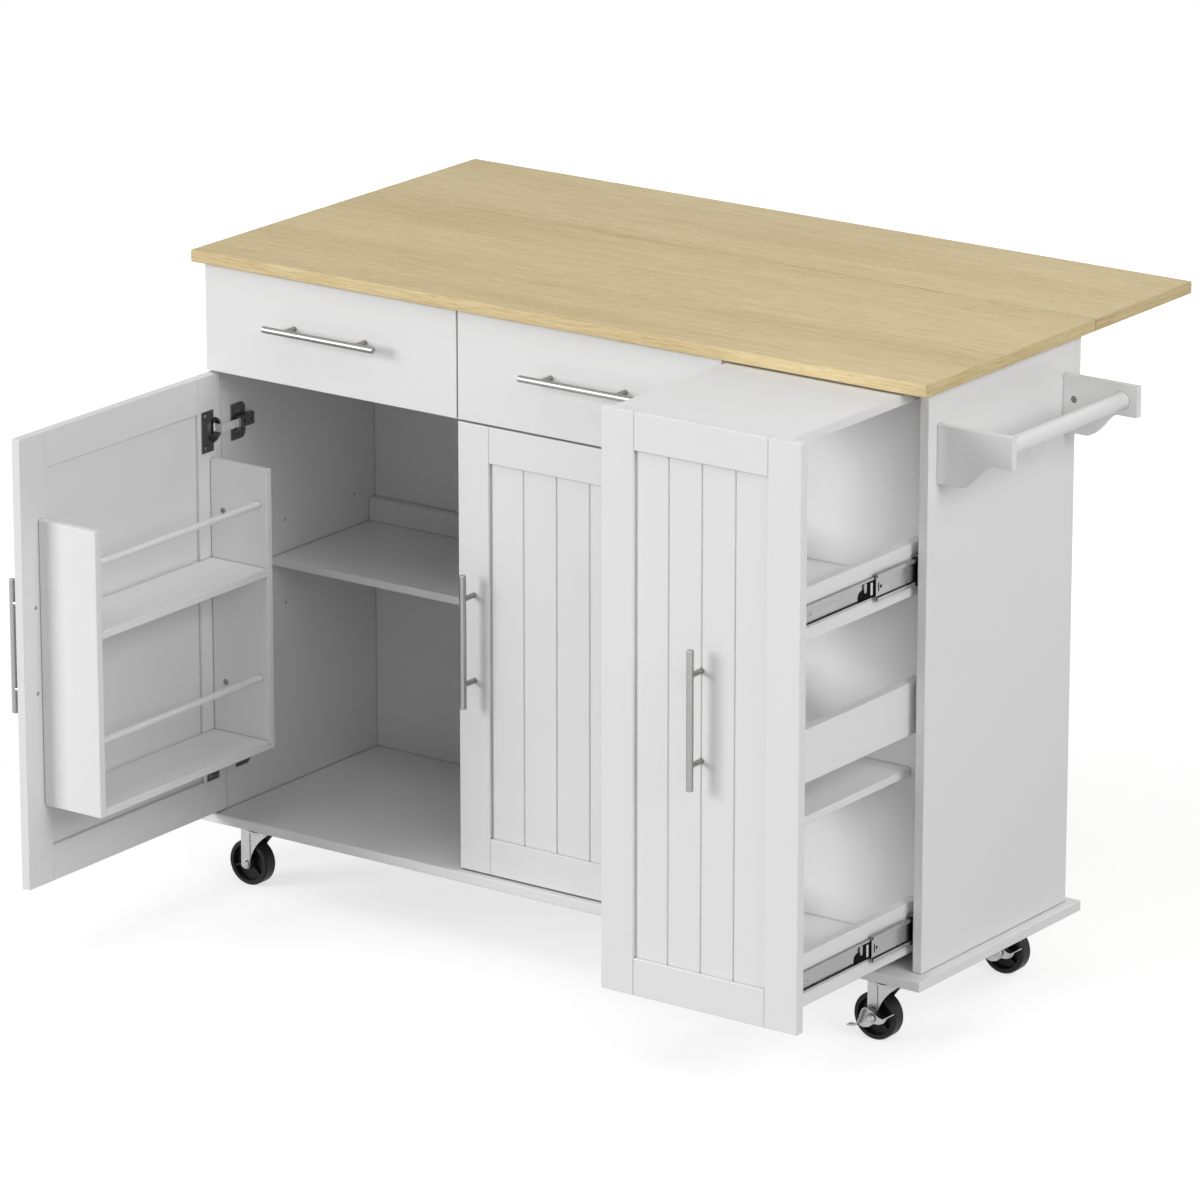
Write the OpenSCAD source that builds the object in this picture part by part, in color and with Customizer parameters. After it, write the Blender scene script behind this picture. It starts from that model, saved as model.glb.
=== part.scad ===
// Drop leaf kitchen island on casters.
// +X runs left to right along the front, +Y runs from the front to the back, +Z is up, and z = 0 is
// the floor. The origin lies on the floor under the middle of the island as it is shown: the left door
// open, the pull-out drawn out and the leaf raised.

/* [Worktop] */
// Width of the worktop
top_w = 1270; // [1150:10:1400]
// Depth of the fixed part of the worktop
top_d = 430; // [425:1:470]
// Depth of the drop leaf
leaf_d = 258; // [235:1:300]
// Thickness of the worktop and of the leaf
top_t = 18; // [15:1:25]
// Height of the worktop's upper face above the floor
top_h = 970; // [940:5:1000]
// Overhang of the worktop past each side panel
top_over = 14; // [8:1:25]

/* [Carcass] */
// Thickness of the sides, base, partition, divider and deck
panel_t = 15; // [14:1:18]
// Distance from the worktop's back edge in to the board that carries the leaf
back_over = 14; // [12:1:18]
// Thickness of the base board
base_t = 15; // [12:1:20]
// Distance from the worktop's back edge in to the base board's back edge
base_back_in = 10; // [0:1:20]
// Overhang of the base board past each side panel
base_over = 16; // [8:1:25]
// Thickness of the back panel
back_t = 5; // [3:1:8]
// Distance from the back edges of the sides to the back panel
back_inset = 6; // [3:1:10]
// Thickness of the board behind the sides that carries the leaf
leaf_rail_t = 12; // [12:1:14]
// Height of the board behind the sides that carries the leaf
leaf_rail_h = 130; // [125:5:200]
// Height of the inner back rail
mid_rail_h = 80; // [40:5:120]
// Height of the inner back rail's upper edge above the floor
mid_rail_top = 511; // [505:1:560]

/* [Fronts] */
// Distance from the worktop's front edge back to the fronts
front_setback = 12; // [6:1:20]
// Thickness of the doors and of the drawer and pull-out fronts
front_t = 15; // [15:1:18]
// Gap between the backs of the fronts and the carcass
front_gap = 2; // [2:0.5:3]
// Distance from the outer faces of the sides in to the fronts
front_reveal = 2; // [1:0.5:3]
// Gap between two fronts that lie side by side
side_gap = 2; // [2:0.5:4]
// Gap between two fronts that lie one above the other
stack_gap = 3; // [2:0.5:5]
// Height of the drawer fronts
drawer_h = 159; // [150:1:180]
// Width of the pull-out front
pull_w = 326; // [300:2:400]
// Width of the stiles and rails
stile_w = 54; // [48:1:70]
// Depth of the panel's face behind the face of the frame
panel_recess = 5; // [3:0.5:5.5]
// Thickness of the beaded panels
bead_panel_t = 5; // [4:0.5:6]
// Depth of the panels' tongues in the frames
tongue = 6; // [4:1:8]
// Number of beaded boards on a door
door_boards = 6; // [3:1:10]
// Number of beaded boards on the pull-out front
pull_boards = 4; // [2:1:8]
// Width of a bead groove
bead_w = 3; // [2:0.5:5]
// Size of the small bevels on the boards' edges
edge = 0.8; // [0.4:0.1:1]

/* [Handles] */
// Diameter of the handle bars
bar_d = 10; // [8:1:14]
// Length of the handle bars
bar_len = 200; // [160:5:300]
// Distance between the posts of a handle
post_gap = 128; // [96:32:128]
// Diameter of the handle posts
post_d = 8; // [6:1:10]
// Distance from the fronts to the far side of the bars
bar_reach = 32; // [26:1:40]
// Height of the middle of the door handles above the floor
door_handle_z = 470; // [420:5:520]
// Height of the middle of the pull-out handle above the floor
pull_handle_z = 540; // [480:5:600]
// Height of the drawer handles above the drawer fronts' lower edges
drawer_handle_z = 86; // [60:1:100]

/* [Door hinges] */
// Angle at which the left door stands open
left_open = 90; // [0:5:95]
// Distance of the hinge middles from the door's ends
hinge_inset = 84; // [80:1:84]
// Diameter of the hinge cups
cup_d = 35; // [35:1:36]
// Depth of the hinge cups
cup_depth = 11.5; // [11:0.5:12]
// Distance from the door's edge to the cup
cup_edge = 3; // [3:0.25:3.5]
// Distance from the door's edge in to the hinge pin
pin_in = 7.5; // [7.3:0.1:7.6]
// Distance from the door's back face in to the hinge pin
pin_deep = 8; // [7.8:0.1:8]
// Radius of the hinge pin
pin_r = 1; // [0.8:0.1:1]
// Bevel on the back of the door's edge, which lets it swing past the side
swing_bevel = 2.2; // [2.2:0.1:3]
// Bevel on the front of the door's edge, which lets it swing past the next front
nose_bevel = 1.5; // [1.5:0.1:2.5]

/* [Spice rack] */
// Gap between the lower hinge and the rack
rack_low_gap = 4; // [4:1:10]
// Gap between the rack and the upper hinge
rack_top_gap = 11; // [5:1:40]
// Width of the rack
rack_w = 400; // [300:5:405]
// Distance from the door's hinge edge to the rack
rack_in = 17; // [17:1:25]
// Depth of the rack
rack_d = 104; // [70:2:106]
// Thickness of the rack's boards
rack_t = 12; // [9:1:15]
// Height of the rack's sides above the underside of its upper shelf
rack_head = 161; // [120:1:180]
// Diameter of the rack's rods
rack_rod_d = 10; // [6:1:14]
// Height of a rod above the shelf under it
rack_rod_z = 95; // [50:5:130]
// Distance from a rod's middle to the rack's front
rack_rod_in = 16; // [10:1:25]

/* [Cupboard] */
// Depth of the shelf
shelf_d = 238; // [180:1:238]
// Thickness of the shelf
shelf_t = 12; // [12:1:18]
// Height of the shelf's upper face above the floor
shelf_z = 476; // [440:1:500]
// Distance between two rows of pin holes
pin_pitch = 64; // [32:32:64]
// Diameter of the shelf pins
shelf_pin_d = 5; // [4:0.5:6]
// Depth of the shelf pin holes
shelf_pin_in = 9; // [7:0.5:10]
// Distance from the shelf's front and back edges in to the pins
pin_in_shelf = 35; // [20:1:60]

/* [Drawers] */
// Height of the drawer sides
box_h = 110; // [100:1:120]
// Gap between the drawer boxes and the back panel
box_room = 26; // [15:1:40]
// Thickness of the drawer sides
box_t = 12; // [10:1:15]
// Thickness of the drawer bottoms
box_floor_t = 4; // [3:1:6]
// Gap between the deck and the drawer boxes
box_lift = 7; // [5:1:10]

/* [Pull-out] */
// Distance that the pull-out is drawn out
pull_open = 287; // [0:1:300]
// Gap between the pull-out and the back panel
tray_room = 31; // [20:1:70]
// Height of the pull-out's side rails
rail_h = 76; // [60:2:90]
// Height of the lowest rail above the pull-out front's lower edge
rail_low = 20; // [15:1:30]
// Height of the middle rail above the pull-out front's lower edge
rail_mid = 340; // [300:5:400]
// Height of the upper rail above the pull-out front's lower edge
rail_up = 540; // [500:5:580]
// Height of the pull-out's shelf above the pull-out front's lower edge
tray_shelf_z = 272; // [200:2:300]
// Thickness of the pull-out's shelf
tray_shelf_t = 12; // [9:1:15]

/* [Slides] */
// Distance from the pull-out's back to the back ends of the slides
slide_room = 31; // [5:1:60]
// Width of the gap that a slide fills
slide_w = 12.7; // [12.7:0.1:13]
// Height of a slide's cabinet member
slide_h = 45; // [42:1:48]
// Sheet thickness of the slides
slide_t = 1.2; // [1:0.1:1.4]
// Radial room for the balls between two members
ball_gap = 2.6; // [2.2:0.1:3]
// Share of the pull-out's travel that the middle members make
mid_share = 1 / 3; // [0.3:0.01:0.5]

/* [Towel rack] */
// Reach of the brackets out from the side panel
towel_reach = 120; // [100:2:150]
// Height of the brackets at the side panel
towel_h = 83; // [70:1:100]
// Height of the brackets at their ends
towel_end_h = 45; // [40:1:60]
// Length of the flat at the brackets' lower edges
towel_toe = 39; // [25:1:50]
// Thickness of the brackets
towel_t = 12; // [10:1:18]
// Distance from the carcass front to the front bracket
towel_in = 21; // [10:1:30]
// Distance from the carcass back to the back bracket
towel_back_in = 22; // [10:1:40]
// Distance from the worktop's underside down to the brackets
towel_drop = 50; // [30:1:80]
// Diameter of the towel rod
towel_rod_d = 24; // [18:1:28]
// Distance from the brackets' ends in to the rod's middle
towel_rod_in = 24; // [20:1:30]

/* [Leaf stays] */
// Distance from the worktop's ends to the stays
stay_inset = 190; // [120:5:300]
// Distance of a stay's pivot behind the board that carries it
stay_out = 9; // [9:0.5:10]
// Distance of a stay's pivot below the worktop
stay_down = 10; // [9:0.5:11]
// Distance from the main pivot to each link's outer pivot
stay_arm = 100; // [90:1:105]
// Length of the flange under the leaf
stay_flange = 200; // [150:5:220]
// Thickness of the stays' steel
stay_t = 2; // [1.5:0.5:2.5]
// Radius of the links' pivots
stay_pin_r = 3; // [2:0.5:4]
// Width of the links
link_w = 12; // [10:1:12]

/* [Casters] */
// Height of the casters
caster_h = 100; // [98:1:110]
// Diameter of the wheels
wheel_d = 70; // [60:1:75]
// Width of the wheels
wheel_w = 24; // [20:1:28]
// Distance from the swivel's middle to the wheel's middle
trail = 16; // [12:1:22]
// Distance from the base board's ends to the swivels
caster_in_x = 80; // [60:1:120]
// Distance from the base board's front and back to the swivels
caster_in_y = 45; // [40:1:60]
// Radius of the axles
axle_r = 4; // [3:0.5:5]
// Angle at which the brake levers are tilted
lever_tilt = 21; // [0:1:25]

/* [Hidden] */
$fn = 48;

white = [0.93, 0.93, 0.92];
beech = [0.84, 0.76, 0.58];
steel = [0.78, 0.78, 0.78];
nickel = [0.35, 0.35, 0.36];
black = [0.08, 0.08, 0.08];

seat = 0.3;        // air between two bodies that move past each other
fit = 0.05;        // radial room of a pin in its bore
panel_fit = 0.1;   // room of a panel in its groove
eps = 0.5;         // overshoot of a cut past a face

// Across the front, measured from the worktop's left end
side_l = top_over;
side_r = top_w - top_over;
in_l = side_l + panel_t;
in_r = side_r - panel_t;
front_l = side_l + front_reveal;
front_r = side_r - front_reveal;
pull_l = front_r - pull_w;
door_w = (pull_l - front_l - 2 * side_gap) / 2;
door2_l = front_l + door_w + side_gap;
door2_r = door2_l + door_w;
partition_r = pull_l - side_gap / 2;
partition_l = partition_r - panel_t;
divider_l = door2_l - side_gap / 2 - panel_t / 2;
divider_r = divider_l + panel_t;

// From the front to the back, measured from the worktop's front edge
front_y = front_setback;
front_back = front_y + front_t;
carcass_y = front_back + front_gap;
leaf_rail_back = top_d - back_over;
carcass_back = leaf_rail_back - leaf_rail_t;
carcass_d = carcass_back - carcass_y;
back_y = carcass_back - back_inset - back_t;
base_d = top_d - base_back_in;
tray_back = back_y - tray_room - panel_t;
tray_d = tray_back - front_back;
box_d = back_y - box_room - front_back;
leaf_gap = 0.6;
leaf_y = top_d + leaf_gap;

// Heights above the floor
under_top = top_h - top_t;
base_top = caster_h + base_t;
door_z = base_top + 2;
fronts_top = under_top - stack_gap;
drawer_z = fronts_top - drawer_h;
door_h = drawer_z - stack_gap - door_z;
pull_h = fronts_top - door_z;
deck_top = drawer_z - 6 + panel_t;
box_z = deck_top + box_lift;
side_h = under_top - base_top;

// The hinge pin, from the corner of the closed door's edge and front face
pin_x = pin_in;
pin_y = front_t - pin_deep;
// The left door's outer face and free edge when it stands open
open_face = front_l + pin_x - pin_y;
open_edge = front_y + pin_y + pin_x - door_w;

// The middle of the footprint, measured from the worktop's front left corner
mid_x = (open_face - bar_reach + side_r + towel_reach) / 2;
mid_y = (open_edge + leaf_y + leaf_d) / 2;

// ---------------------------------------------------------------- general shapes

// Moves a shape from the worktop's front left corner to the part's own origin
module placed() {
    translate([-mid_x, -mid_y, 0]) children();
}

function bevelled(w, h, e) = [
    [e, 0], [w - e, 0], [w, e], [w, h - e], [w - e, h], [e, h], [0, h - e], [0, e]
];

// A board with a small bevel along every edge
module board(at, size, e = edge) {
    translate(at) intersection() {
        linear_extrude(size.z) polygon(bevelled(size.x, size.y, e));
        translate([0, size.y, 0]) rotate([90, 0, 0])
            linear_extrude(size.y) polygon(bevelled(size.x, size.z, e));
        rotate([90, 0, 90]) linear_extrude(size.x) polygon(bevelled(size.y, size.z, e));
    }
}

// An outline in Y and Z, given thickness t along X
module yz_plate(t) {
    rotate([90, 0, 90]) linear_extrude(t) children();
}

// An outline in X and Z, given thickness t along Y
module xz_plate(t) {
    translate([0, t, 0]) rotate([90, 0, 0]) linear_extrude(t) children();
}

module rod_x(r, length) {
    rotate([0, 90, 0]) cylinder(r = r, h = length);
}

module rod_y(r, length) {
    rotate([-90, 0, 0]) cylinder(r = r, h = length);
}

// ---------------------------------------------------------------- worktop and leaf

module worktop() {
    color(beech) placed() board([0, 0, under_top], [top_w, top_d, top_t], 1);
}

module drop_leaf() {
    color(beech) placed() board([0, leaf_y, under_top], [top_w, leaf_d, top_t], 1);
}

// ---------------------------------------------------------------- carcass

// Blind holes for the shelf pins, three rows at two depths, drilled along X from face x
module pin_holes(x) {
    for (row = [-1:1], y = shelf_pin_ys)
        translate([x, y, shelf_pin_z + row * pin_pitch])
            rod_x(shelf_pin_d / 2 + fit, shelf_pin_in);
}

shelf_back = back_y - panel_t;
shelf_pin_ys = [shelf_back - shelf_d + pin_in_shelf, shelf_back - pin_in_shelf];
shelf_pin_z = shelf_z - shelf_t - shelf_pin_d / 2;

// The groove that holds the back panel in a board whose inner face is at x
module back_groove(x) {
    translate([x - back_held, back_y, base_top - eps])
        cube([2 * back_held, back_t, side_h + 2 * eps]);
}

back_held = 6;     // depth of the grooves that hold the back panel

module side_panel(x, inner, pins_at) {
    difference() {
        board([x, carcass_y, base_top], [panel_t, carcass_d, side_h]);
        back_groove(inner);
        if (pins_at != undef) pin_holes(pins_at);
    }
}

module left_side_panel() {
    color(white) placed() side_panel(side_l, in_l, in_l - shelf_pin_in);
}

module right_side_panel() {
    color(white) placed() difference() {
        side_panel(in_r, in_r);
        towel_bolt_holes();
    }
}

module base_board() {
    color(white) placed()
        board([side_l - base_over, 0, caster_h],
              [side_r - side_l + 2 * base_over, base_d, base_t], 1);
}

module partition() {
    color(white) placed() difference() {
        board([partition_l, carcass_y, base_top], [panel_t, back_y - carcass_y, side_h]);
        pin_holes(partition_l);
    }
}

module drawer_divider() {
    color(white) placed()
        board([divider_l, carcass_y, deck_top],
              [panel_t, back_y - carcass_y, under_top - deck_top]);
}

module drawer_deck() {
    color(white) placed()
        board([in_l, carcass_y, deck_top - panel_t],
              [partition_l - in_l, back_y - carcass_y, panel_t]);
}

module back_panel() {
    color(white) placed()
        translate([in_l - back_held + panel_fit, back_y, base_top])
            cube([in_r - in_l + 2 * back_held - 2 * panel_fit, back_t, side_h]);
}

// The board behind the sides that carries the leaf, and the inner rail above the shelf's back
module back_rails() {
    color(white) placed() {
        board([side_l, carcass_back, under_top - leaf_rail_h],
              [side_r - side_l, leaf_rail_t, leaf_rail_h]);
        board([in_l, back_y - panel_t, mid_rail_top - mid_rail_h],
              [partition_l - in_l, panel_t, mid_rail_h]);
    }
}

module shelf() {
    color(white) placed()
        board([in_l + 1, shelf_back - shelf_d, shelf_z - shelf_t],
              [partition_l - in_l - 2, shelf_d, shelf_t]);
}

// Steel pins in the sides' middle row of holes, on which the shelf lies
module shelf_pins() {
    pin_len = 2 * shelf_pin_in - 1;
    color(steel) placed()
        for (x = [in_l - shelf_pin_in + 0.5, partition_l - shelf_pin_in + 0.5], y = shelf_pin_ys)
            translate([x, y, shelf_pin_z]) rod_x(shelf_pin_d / 2, pin_len);
}

// ---------------------------------------------------------------- doors and fronts

// The groove that holds a panel along the inner edge of a stile or rail. It faces +X or +Z
module frame_piece(at, size, groove_at, groove_size) {
    difference() {
        board(at, size);
        translate(groove_at) cube(groove_size);
    }
}

// Two stiles and two rails. The front face is at y = 0 and the hinge edge at x = 0
module frame(w, h) {
    groove_y = panel_recess;
    groove_t = bead_panel_t + panel_fit;
    for (x = [0, w - stile_w])
        frame_piece([x, 0, 0], [stile_w, front_t, h],
                    [x == 0 ? stile_w - tongue : x - eps, groove_y, stile_w - tongue],
                    [tongue + eps, groove_t, h - 2 * stile_w + 2 * tongue]);
    for (z = [0, h - stile_w])
        frame_piece([stile_w, 0, z], [w - 2 * stile_w, front_t, stile_w],
                    [stile_w - eps, groove_y, z == 0 ? stile_w - tongue : z - eps],
                    [w - 2 * stile_w + 2 * eps, groove_t, tongue + eps]);
    // The rails' tenons in the stiles
    for (z = [tenon_in, h - stile_w + tenon_in])
        translate([stile_w - 2 * tongue, panel_recess, z])
            cube([w - 2 * stile_w + 4 * tongue, bead_panel_t, stile_w - 2 * tenon_in]);
}

tenon_in = 10;           // distance from a rail's edges in to its tenons

// A flat panel with V grooves on its face, which part it into boards
module bead_panel(w, h, boards) {
    grip = tongue - panel_fit;
    open_w = w - 2 * stile_w;
    pitch = open_w / boards;
    difference() {
        translate([stile_w - grip, panel_recess, stile_w - grip])
            cube([open_w + 2 * grip, bead_panel_t, h - 2 * stile_w + 2 * grip]);
        for (i = [1:boards - 1])
            translate([stile_w + i * pitch, panel_recess, 0])
                linear_extrude(h) polygon([[-bead_w / 2, 0], [-bead_w / 2, -eps],
                                           [bead_w / 2, -eps], [bead_w / 2, 0], [0, bead_w / 2]]);
    }
}

// A bar on two posts, standing upright. The posts meet the front at y = 0
module bar_handle() {
    r = bar_d / 2;
    bar_y = r - bar_reach;
    translate([0, bar_y, -bar_len / 2]) rotate_extrude()
        polygon([[0, 0], [r - 1, 0], [r, 1], [r, bar_len - 1], [r - 1, bar_len], [0, bar_len]]);
    for (z = [-post_gap / 2, post_gap / 2])
        translate([0, bar_y, z]) rod_y(post_d / 2, -bar_y);
}

// Puts a shape that is drawn from a closed door's hinge corner on the left door as it stands open
module on_left_door(angle = left_open) {
    placed() translate([front_l + pin_x, front_y + pin_y, door_z])
        rotate([0, 0, -angle]) translate([-pin_x, -pin_y, 0]) children();
}

module on_right_door() {
    placed() translate([door2_r, front_y, door_z]) mirror([1, 0, 0]) children();
}

hinge_z = [hinge_inset, door_h - hinge_inset];
cup_x = cup_edge + cup_d / 2;

// A door's frame, with the cup bores and the bevel at its hinge edge
module door_frame() {
    difference() {
        frame(door_w, door_h);
        for (z = hinge_z)
            translate([cup_x, front_t - cup_depth - panel_fit, z])
                rod_y(cup_d / 2 + fit, cup_depth + eps);
        translate([0, front_t, -eps]) linear_extrude(door_h + 2 * eps)
            polygon([[-eps, eps], [-eps, -swing_bevel - eps], [swing_bevel + eps, eps]]);
        translate([0, 0, -eps]) linear_extrude(door_h + 2 * eps)
            polygon([[-eps, -eps], [nose_bevel + eps, -eps], [-eps, nose_bevel + eps]]);
    }
}

module left_door_frame() {
    color(white) on_left_door() door_frame();
}

module right_door_frame() {
    color(white) on_right_door() door_frame();
}

module left_door_panel() {
    color(white) on_left_door() bead_panel(door_w, door_h, door_boards);
}

module right_door_panel() {
    color(white) on_right_door() bead_panel(door_w, door_h, door_boards);
}

module door_handle() {
    translate([door_w - stile_w / 2, 0, door_handle_z - door_z]) bar_handle();
}

module left_door_handle() {
    color(steel) on_left_door() door_handle();
}

module right_door_handle() {
    color(steel) on_right_door() door_handle();
}

// ---------------------------------------------------------------- concealed hinges

cup_wall = 0.8;          // sheet thickness of a cup
flange_t = 1;            // thickness of the plate that holds a cup on the door
flange_w = 27;           // width of that plate
flange_h = 62;           // height of that plate
neck_h = 12;             // height of the arm's neck, along the hinge pin
neck_t = 2;              // thickness of the neck
neck_run = 14.5;         // reach of the neck from the pin into the cupboard
neck_held = 10;          // length of the neck inside the arm's body
body_y = 46;             // start of the arm's body behind the door's front face
body_len = 38;           // length of the arm's body
body_holes = [13, 29];   // places of the adjusting screws along the body
body_h = 18;             // height of the arm's body
body_t = 9;              // thickness of the arm's body
wing_in = 8;             // distance from the plate's front edge to the arm's body
wing_w = 32;             // width of the mounting plate's wings
wing_h = 27;             // height of a wing, from the hinge's middle
tail_w = 10;             // length of the plate behind its wings
tail_h = 8;              // half the height of the plate behind its wings
corner = 6;              // bevel at a wing's corner
plate_t = 2;             // thickness of the mounting plate
plate_hole = [14, 16];   // place of a plate's screw holes, from its front edge and the middle
screw_r = 2.5;           // radius of the screw holes

// The cup with its flange and pin. y = front_t is the door's back face
module hinge_cup() {
    inner_r = cup_d / 2 - cup_wall;
    difference() {
        union() {
            translate([cup_x, front_t - cup_depth, 0]) rod_y(cup_d / 2, cup_depth);
            translate([cup_x, front_t, -flange_h / 2])
                cube([flange_w, flange_t, flange_h]);
            intersection() {
                translate([cup_x, front_t, 0]) rod_y(cup_d / 2 + 1.5, flange_t);
                translate([cup_edge + 1.5, front_t, -cup_d])
                    cube([2 * cup_d, flange_t, 2 * cup_d]);
            }
        }
        translate([cup_x, front_t - cup_depth + cup_wall, 0]) rod_y(inner_r, cup_depth + eps);
        for (z = [-24, 24]) translate([cup_x + 18, front_t - eps, z]) rod_y(2, 2 * flange_t + eps);
    }
    intersection() {
        translate([pin_x, pin_y, -cup_d / 2]) cylinder(r = pin_r, h = cup_d);
        translate([cup_x, 0, 0]) rod_y(cup_d / 2 - cup_wall / 2, 2 * front_t);
    }
}

// The strip that runs from the eye into the arm's body, or the slot that holds it
module hinge_neck(room = 0) {
    translate([pin_x + neck_run - neck_t - room, pin_y - neck_t / 2, -neck_h / 2 - room])
        cube([neck_t + 2 * room, body_y + neck_held - pin_y + neck_t / 2 + room, neck_h + 2 * room]);
}

// The bright arm: an eye round the hinge pin, a bend out of the cup, and the neck
module hinge_arm() {
    translate([0, 0, -neck_h / 2]) difference() {
        linear_extrude(neck_h) {
            translate([pin_x, pin_y]) circle(r = pin_r + 1);
            translate([pin_x, pin_y - neck_t / 2]) square([neck_run, neck_t]);
        }
        translate([pin_x, pin_y, -eps]) cylinder(r = pin_r + fit, h = neck_h + 2 * eps);
    }
    hinge_neck();
}

// The arm's body on its plate, with a slot for the neck and two adjusting screws' holes
module hinge_body(face_x) {
    difference() {
        translate([face_x + plate_t, body_y, -body_h / 2]) difference() {
            linear_extrude(body_h)
                polygon([[0, 0], [body_t - 2, 0], [body_t, 3], [body_t, body_len * 0.6],
                         [body_t - 3, body_len], [0, body_len]]);
            // Bevels along the outer face
            for (side = [0, 1]) translate([0, -eps, side * body_h]) mirror([0, 0, side])
                rotate([-90, 0, 0]) linear_extrude(body_len + 2 * eps)
                    polygon([[body_t - 2.5, eps], [body_t + eps, eps], [body_t + eps, -4]]);
            for (y = body_holes) translate([body_t - 4, y, body_h / 2]) rod_x(screw_r, 2 * body_t);
        }
        hinge_neck(fit);
    }
}

// The winged plate that is screwed to the side and carries the arm
module hinge_plate(face_x) {
    end = wing_w + tail_w;
    translate([face_x, body_y - wing_in, 0]) difference() {
        yz_plate(plate_t) polygon([
            [0, -wing_h], [wing_w - corner, -wing_h], [wing_w, corner - wing_h], [wing_w, -tail_h],
            [end, -tail_h], [end, tail_h], [wing_w, tail_h], [wing_w, wing_h - corner],
            [wing_w - corner, wing_h], [0, wing_h]]);
        for (z = [-plate_hole.y, plate_hole.y])
            translate([-eps, plate_hole.x, z]) rod_x(screw_r, plate_t + 2 * eps);
        // Slots for the adjustment in height
        for (z = [-plate_hole.y, plate_hole.y], dz = [-2.5, 2.5])
            translate([-eps, wing_w - 7, z + dz]) rod_x(1.5, plate_t + 2 * eps);
    }
}

// Draws a piece at each hinge of both doors. The pieces are fixed to the carcass
module at_hinges() {
    placed() {
        for (z = hinge_z) translate([front_l, front_y, door_z + z]) children(0);
        for (z = hinge_z)
            translate([door2_r, front_y, door_z + z]) mirror([1, 0, 0]) children(1);
    }
}

module hinge_arms() {
    color(steel) at_hinges() {
        hinge_arm();
        hinge_arm();
    }
}

module hinge_bodies() {
    color(nickel) at_hinges() {
        hinge_body(in_l - front_l);
        hinge_body(door2_r - partition_l);
    }
}

module hinge_plates() {
    color(nickel) at_hinges() {
        hinge_plate(in_l - front_l);
        hinge_plate(door2_r - partition_l);
    }
}

module left_hinge_cups() {
    color(nickel) on_left_door() for (z = hinge_z) translate([0, 0, z]) hinge_cup();
}

module right_hinge_cups() {
    color(nickel) on_right_door() for (z = hinge_z) translate([0, 0, z]) hinge_cup();
}

// ---------------------------------------------------------------- spice rack

rack_z = hinge_inset + flange_h / 2 + rack_low_gap;
rack_h = door_h - hinge_inset - flange_h / 2 - rack_top_gap - rack_z;
rack_shelves = [0, rack_h - rack_head];     // heights of the two shelves in the rack

module rack_rod_at(z, r) {
    translate([rack_in + rack_t / 2, front_t + rack_d - rack_rod_in, rack_z + z + rack_rod_z + rack_t])
        rod_x(r, rack_w - rack_t);
}

module spice_rack_sides() {
    color(white) on_left_door() difference() {
        for (x = [rack_in, rack_in + rack_w - rack_t])
            board([x, front_t, rack_z], [rack_t, rack_d, rack_h]);
        for (z = rack_shelves) rack_rod_at(z, rack_rod_d / 2);
    }
}

module spice_rack_shelves() {
    color(white) on_left_door() for (z = rack_shelves)
        board([rack_in + rack_t, front_t, rack_z + z], [rack_w - 2 * rack_t, rack_d, rack_t]);
}

module spice_rack_rods() {
    color(white) on_left_door() for (z = rack_shelves) rack_rod_at(z, rack_rod_d / 2);
}

// ---------------------------------------------------------------- telescopic slides

// Heights of the middle and inner members, each a ball race inside the one before
middle_h = slide_h - 2 * slide_t - 2 * ball_gap;
inner_h = middle_h - 2 * slide_t - 2 * ball_gap;
slide_y = carcass_y + 2;                    // front ends of the slides
slide_len = front_back + tray_d + panel_t - slide_room - slide_y;
cage_short = 64;         // length of the drawers' ball cages
cage_mid = 72;           // length of the inner ball cages of the pull-out
cage_long = 112;         // length of the outer ball cages of the pull-out

// A C profile with rolled lips: the web is at x = 0, and the flanges point to +X
module channel(h, depth, lip) {
    t = slide_t;
    yz = [[0, 0], [depth, 0], [depth, lip], [depth - t, lip], [depth - t, t], [t, t]];
    translate([0, 0, -h / 2]) rotate([90, 0, 0]) translate([0, 0, -slide_len])
        linear_extrude(slide_len) polygon(concat(
            yz, [for (i = [5:-1:0]) [yz[i].x, h - yz[i].y]]));
}

// Balls in a thin cage, above and below. They run along the next member, whose height is given.
// The cage's ends are bent up to the member that carries it
module ball_cages(inside_h, x, length) {
    mid = inside_h / 2 + ball_gap / 2;
    balls = floor(length / ball_pitch);
    for (s = [0, 1]) mirror([0, 0, s]) translate([x, cage_in, mid]) {
        translate([-1, 0, -0.3]) cube([2, balls * ball_pitch, 0.6]);
        for (y = [0, balls * ball_pitch - 2])
            translate([-1, y, -0.3]) cube([2, 2, ball_gap / 2 + 0.3]);
        for (i = [0:balls - 1])
            translate([0, (i + 0.5) * ball_pitch, 0]) sphere(r = ball_gap / 2 - ball_room, $fn = 16);
    }
}

ball_pitch = 16;         // distance between two balls
ball_room = 0.08;        // air between a ball and the member that it runs along
cage_in = 8;             // distance from a member's front end to its cages

// The cabinet member, with its web against the cabinet and stops bent in at its back
module outer_member(cage_len) {
    channel(slide_h, slide_w - slide_t - 1, 2);
    translate([slide_t, slide_len - 3, -4]) cube([3, slide_t, 8]);
    ball_cages(middle_h, 6.2, cage_len);
}

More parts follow.
